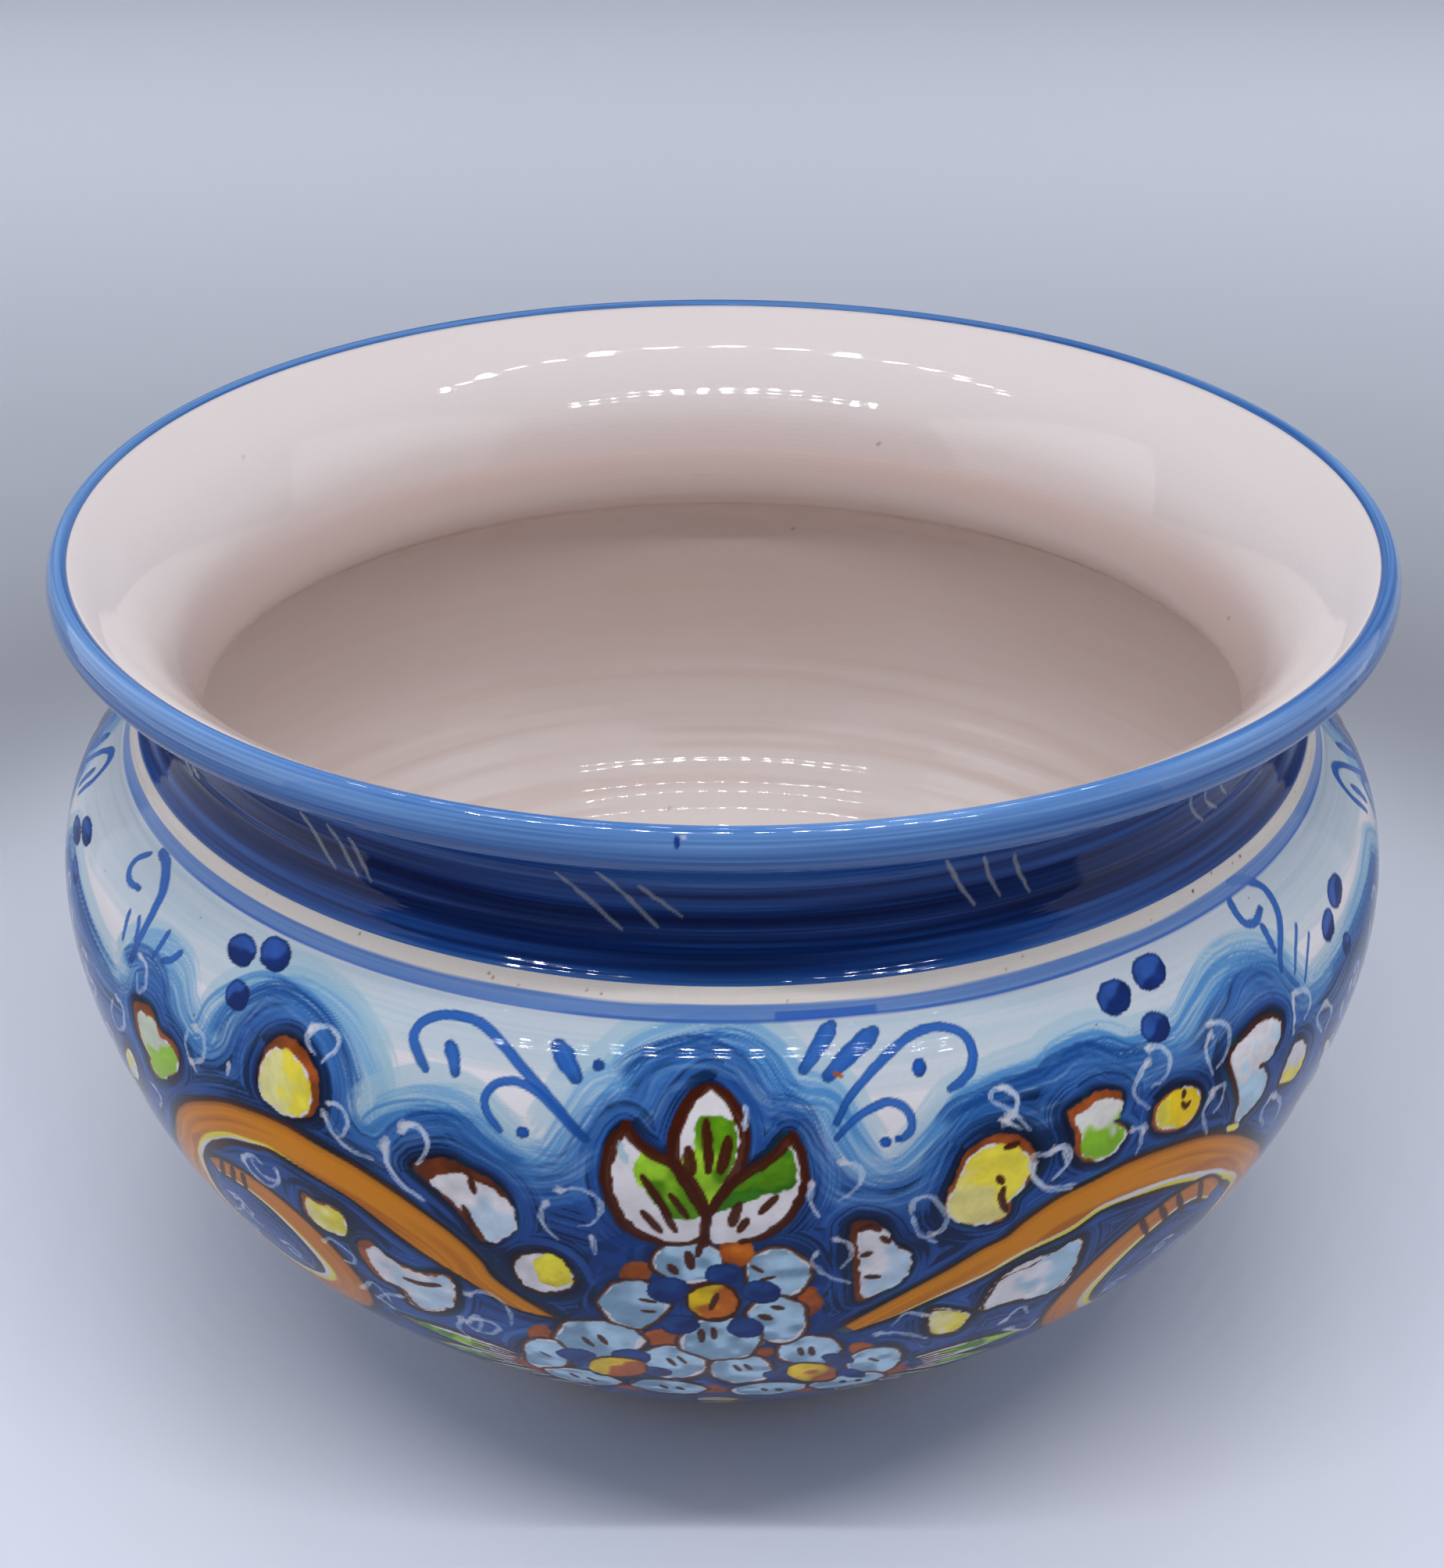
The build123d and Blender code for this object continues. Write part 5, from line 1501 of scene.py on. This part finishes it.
def clay():
    m, t, b = nodes_of("bare_clay")
    geo = t.nodes.new("ShaderNodeTexCoord")
    where = geo.outputs["Object"]
    f = maths(t, "ADD", maths(t, "MULTIPLY", noise_node(t, where, 45.0, 5.0, 0.65), 0.6),
              maths(t, "MULTIPLY", noise_node(t, where, 700.0, 3.0, 0.7), 0.4))
    ramp = t.nodes.new("ShaderNodeValToRGB")
    ramp.color_ramp.elements[0].position, ramp.color_ramp.elements[1].position = 0.3, 0.72
    ramp.color_ramp.elements[0].color = (0.30, 0.115, 0.055, 1)
    ramp.color_ramp.elements[1].color = (0.62, 0.33, 0.19, 1)
    e = ramp.color_ramp.elements.new(0.5)
    e.color = (0.47, 0.21, 0.11, 1)
    t.links.new(f, ramp.inputs["Fac"])
    t.links.new(ramp.outputs["Color"], b.inputs["Base Color"])
    t.links.new(maths(t, "ADD", maths(t, "MULTIPLY", noise_node(t, where, 300.0, 3.0), 0.2), 0.7), b.inputs["Roughness"])
    bump = t.nodes.new("ShaderNodeBump")
    bump.inputs["Strength"].default_value = 0.7
    bump.inputs["Distance"].default_value = 0.0004
    t.links.new(noise_node(t, where, 900.0, 4.0, 0.7), bump.inputs["Height"])
    t.links.new(bump.outputs["Normal"], b.inputs["Normal"])
    return m


looks = {"belly_glaze_painted": glazed("painted_glaze", 0.042, 0.010, 0.022, gloss=0.10),
         "neck_glaze_banded": glazed("dark_blue_glaze", 0.048, 0.006, 0.022, tint=0.04, gloss=0.26),
         "rim_glaze_blue": glazed("blue_glaze", 0.060, 0.006, 0.026, tint=0.04, gloss=0.5),
         "lining_glaze_white": glazed("white_glaze", 0.044, 0.006, 0.024, tint=0.025, ridge_mm=1.3, gloss=0.5)}
for piece, node, slot in PIECES:
    piece.data.materials.append(looks[piece.name])
    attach(piece, "root")
    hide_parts(node)

earth = clay()
for name in ("foot_ring", "bowl_wall", "neck_collar", "rim_roll"):
    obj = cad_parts[name]
    if not obj.material_slots:
        obj.data.materials.append(earth)
    for s_ in obj.material_slots:
        s_.material = earth


# ---------------------------------------------------------------- floor and backdrop
def paper():
    """One pale sheet: a wide round floor that bends up into a wall far outside the viewpoints."""
    flat, bend, top, c = 1.75, 0.35, 1.7, 128
    line = [(r, 0.0) for r in np.r_[np.linspace(0.05, 0.6, 12), np.linspace(0.7, flat, 12)]]
    line += [(flat + bend * math.sin(a), bend - bend * math.cos(a)) for a in np.linspace(0, math.pi / 2, 14)[1:]]
    line += [(flat + bend, z) for z in np.linspace(bend + 0.1, top, 8)]
    verts = [(0.0, 0.0, 0.0)] + [(r * math.sin(2 * math.pi * j / c), -r * math.cos(2 * math.pi * j / c), z) for r, z in line for j in range(c)]
    at_ = lambda i, j: 1 + i * c + j % c
    faces = [(0, at_(0, j), at_(0, j + 1)) for j in range(c)]
    faces += [(at_(i, j), at_(i + 1, j), at_(i + 1, j + 1), at_(i, j + 1)) for i in range(len(line) - 1) for j in range(c)]
    mesh = bpy.data.meshes.new("studio_sweep")
    mesh.from_pydata(verts, [], faces)
    mesh.polygons.foreach_set("use_smooth", [True] * len(faces))
    mesh.update()
    obj = bpy.data.objects.new("studio_sweep", mesh)
    bpy.context.scene.collection.objects.link(obj)
    m, t, b = nodes_of("pale_sheet")
    where = t.nodes.new("ShaderNodeTexCoord").outputs["Object"]
    # out from the middle: pale, then a greyer ring of painted shade where the light of the lamps ends, pale again
    far = t.nodes.new("ShaderNodeVectorMath")
    far.operation = "LENGTH"
    t.links.new(where, far.inputs[0])
    out_ = maths(t, "MULTIPLY", far.outputs["Value"], 0.5)
    out_ = maths(t, "ADD", out_, maths(t, "MULTIPLY", noise_node(t, where, 5.0, 3.0), 0.012))
    ramp = t.nodes.new("ShaderNodeValToRGB")
    ramp.color_ramp.interpolation = "B_SPLINE"
    sheet_tones_and_painted_shade = ((0.0, 0.84), (0.19, 0.86), (0.244, 0.82), (0.286, 0.76), (0.335, 0.51), (0.39, 0.41), (0.45, 0.50), (0.50, 0.58),
             (0.575, 0.67), (0.70, 0.76), (1.0, 0.82), (1.4, 0.81))
    ramp.color_ramp.elements.remove(ramp.color_ramp.elements[1])
    for k, (p, tone) in enumerate(sheet_tones_and_painted_shade):
        e = ramp.color_ramp.elements[0] if k == 0 else ramp.color_ramp.elements.new(p / 2 + 0.006)
        e.position = p / 2 + 0.006
        e.color = (tone * 0.968, tone, tone * 1.107, 1)
    t.links.new(out_, ramp.inputs["Fac"])
    t.links.new(ramp.outputs["Color"], b.inputs["Base Color"])
    b.inputs["Roughness"].default_value = 0.62
    b.inputs["Specular IOR Level"].default_value = 0.25
    bump = t.nodes.new("ShaderNodeBump")
    bump.inputs["Strength"].default_value = 0.15
    bump.inputs["Distance"].default_value = 0.0003
    t.links.new(noise_node(t, where, 500.0, 3.0), bump.inputs["Height"])
    t.links.new(bump.outputs["Normal"], b.inputs["Normal"])
    obj.data.materials.append(m)


paper()


# ---------------------------------------------------------------- light
def area(name, at_, to, size, watts, colour_=(1, 1, 1), size_y=None, shape="RECTANGLE", spread=math.pi):
    lamp = bpy.data.lights.new(name, "AREA")
    lamp.shape = shape
    lamp.size = size
    if shape in ("RECTANGLE", "ELLIPSE"):
        lamp.size_y = size_y or size
    lamp.energy = watts
    lamp.color = colour_
    lamp.spread = spread
    o = bpy.data.objects.new(name, lamp)
    o.location = at_
    o.rotation_euler = (Vector(to) - Vector(at_)).to_track_quat("-Z", "Y").to_euler()
    o.visible_camera = False
    bpy.context.scene.collection.objects.link(o)
    return o


COOL = (0.93, 0.95, 1.0)
for row, (y, z, count, half, watts) in enumerate(((-0.33, 0.60, 15, 0.29, 0.125), (0.05, 0.60, 15, 0.25, 0.050))):
    for i in range(count):
        x = -half + 2 * half * i / (count - 1)
        area(f"lamp_{row}_{i}", (x, y, z), (x, y, 0.0), 0.016, watts, COOL, shape="DISK")
panel = area("ceiling", (0.0, -0.20, 0.66), (0, -0.20, 0), 1.15, 2.25, COOL, 0.95)
panel.visible_glossy = False
for i, (x, y, watts) in enumerate(((0, 1.12, 4.4), (1.2, 0, 3.0), (0, -1.3, 2.0), (-1.2, 0, 3.0))):
    area(f"ring_{i}", (x, y, 1.0), (x, y, 0), 2.2 if y else 1.0, watts, COOL, 1.0 if y else 2.2, spread=math.radians(80))
area("left_wall", (-0.50, -0.02, 0.30), (0, -0.02, 0.12), 0.55, 0.85, COOL, 0.55)
area("right_wall", (0.50, -0.02, 0.30), (0, -0.02, 0.12), 0.55, 0.61, COOL, 0.55)

world = bpy.data.worlds.new("studio")
bpy.context.scene.world = world
world.use_nodes = True
wt = world.node_tree
bg = wt.nodes["Background"]
way_ = wt.nodes.new("ShaderNodeTexCoord").outputs["Generated"]
split = wt.nodes.new("ShaderNodeSeparateXYZ")
wt.links.new(way_, split.inputs[0])
# dim in front, where the room is dark, brighter above and behind
lum = maths(wt, "ADD", maths(wt, "MULTIPLY", split.outputs["Y"], 0.03), maths(wt, "MULTIPLY", split.outputs["Z"], 0.03))
lum = maths(wt, "MAXIMUM", maths(wt, "ADD", lum, 0.03), 0.01)
wt.links.new(lum, bg.inputs["Strength"])
bg.inputs["Color"].default_value = (0.86, 0.90, 1.0, 1)

# ---------------------------------------------------------------- camera
cam = bpy.data.cameras.new("viewpoint")
cam.sensor_fit = "HORIZONTAL"
cam.sensor_width = 36.0
cam.lens = FOCAL * 36.0 / 1848.0
cam.clip_start, cam.clip_end = 0.02, 20.0
cam.dof.use_dof = False
eye = bpy.data.objects.new("viewpoint", cam)
ax, ay, fw = eye_axes()
m4 = Matrix(((ax[0], ay[0], -fw[0], EYE[0] / 1000), (ax[1], ay[1], -fw[1], EYE[1] / 1000),
             (ax[2], ay[2], -fw[2], EYE[2] / 1000), (0, 0, 0, 1)))
eye.matrix_world = m4
bpy.context.scene.collection.objects.link(eye)
bpy.context.scene.camera = eye
bpy.context.scene.view_settings.view_transform = "Standard"
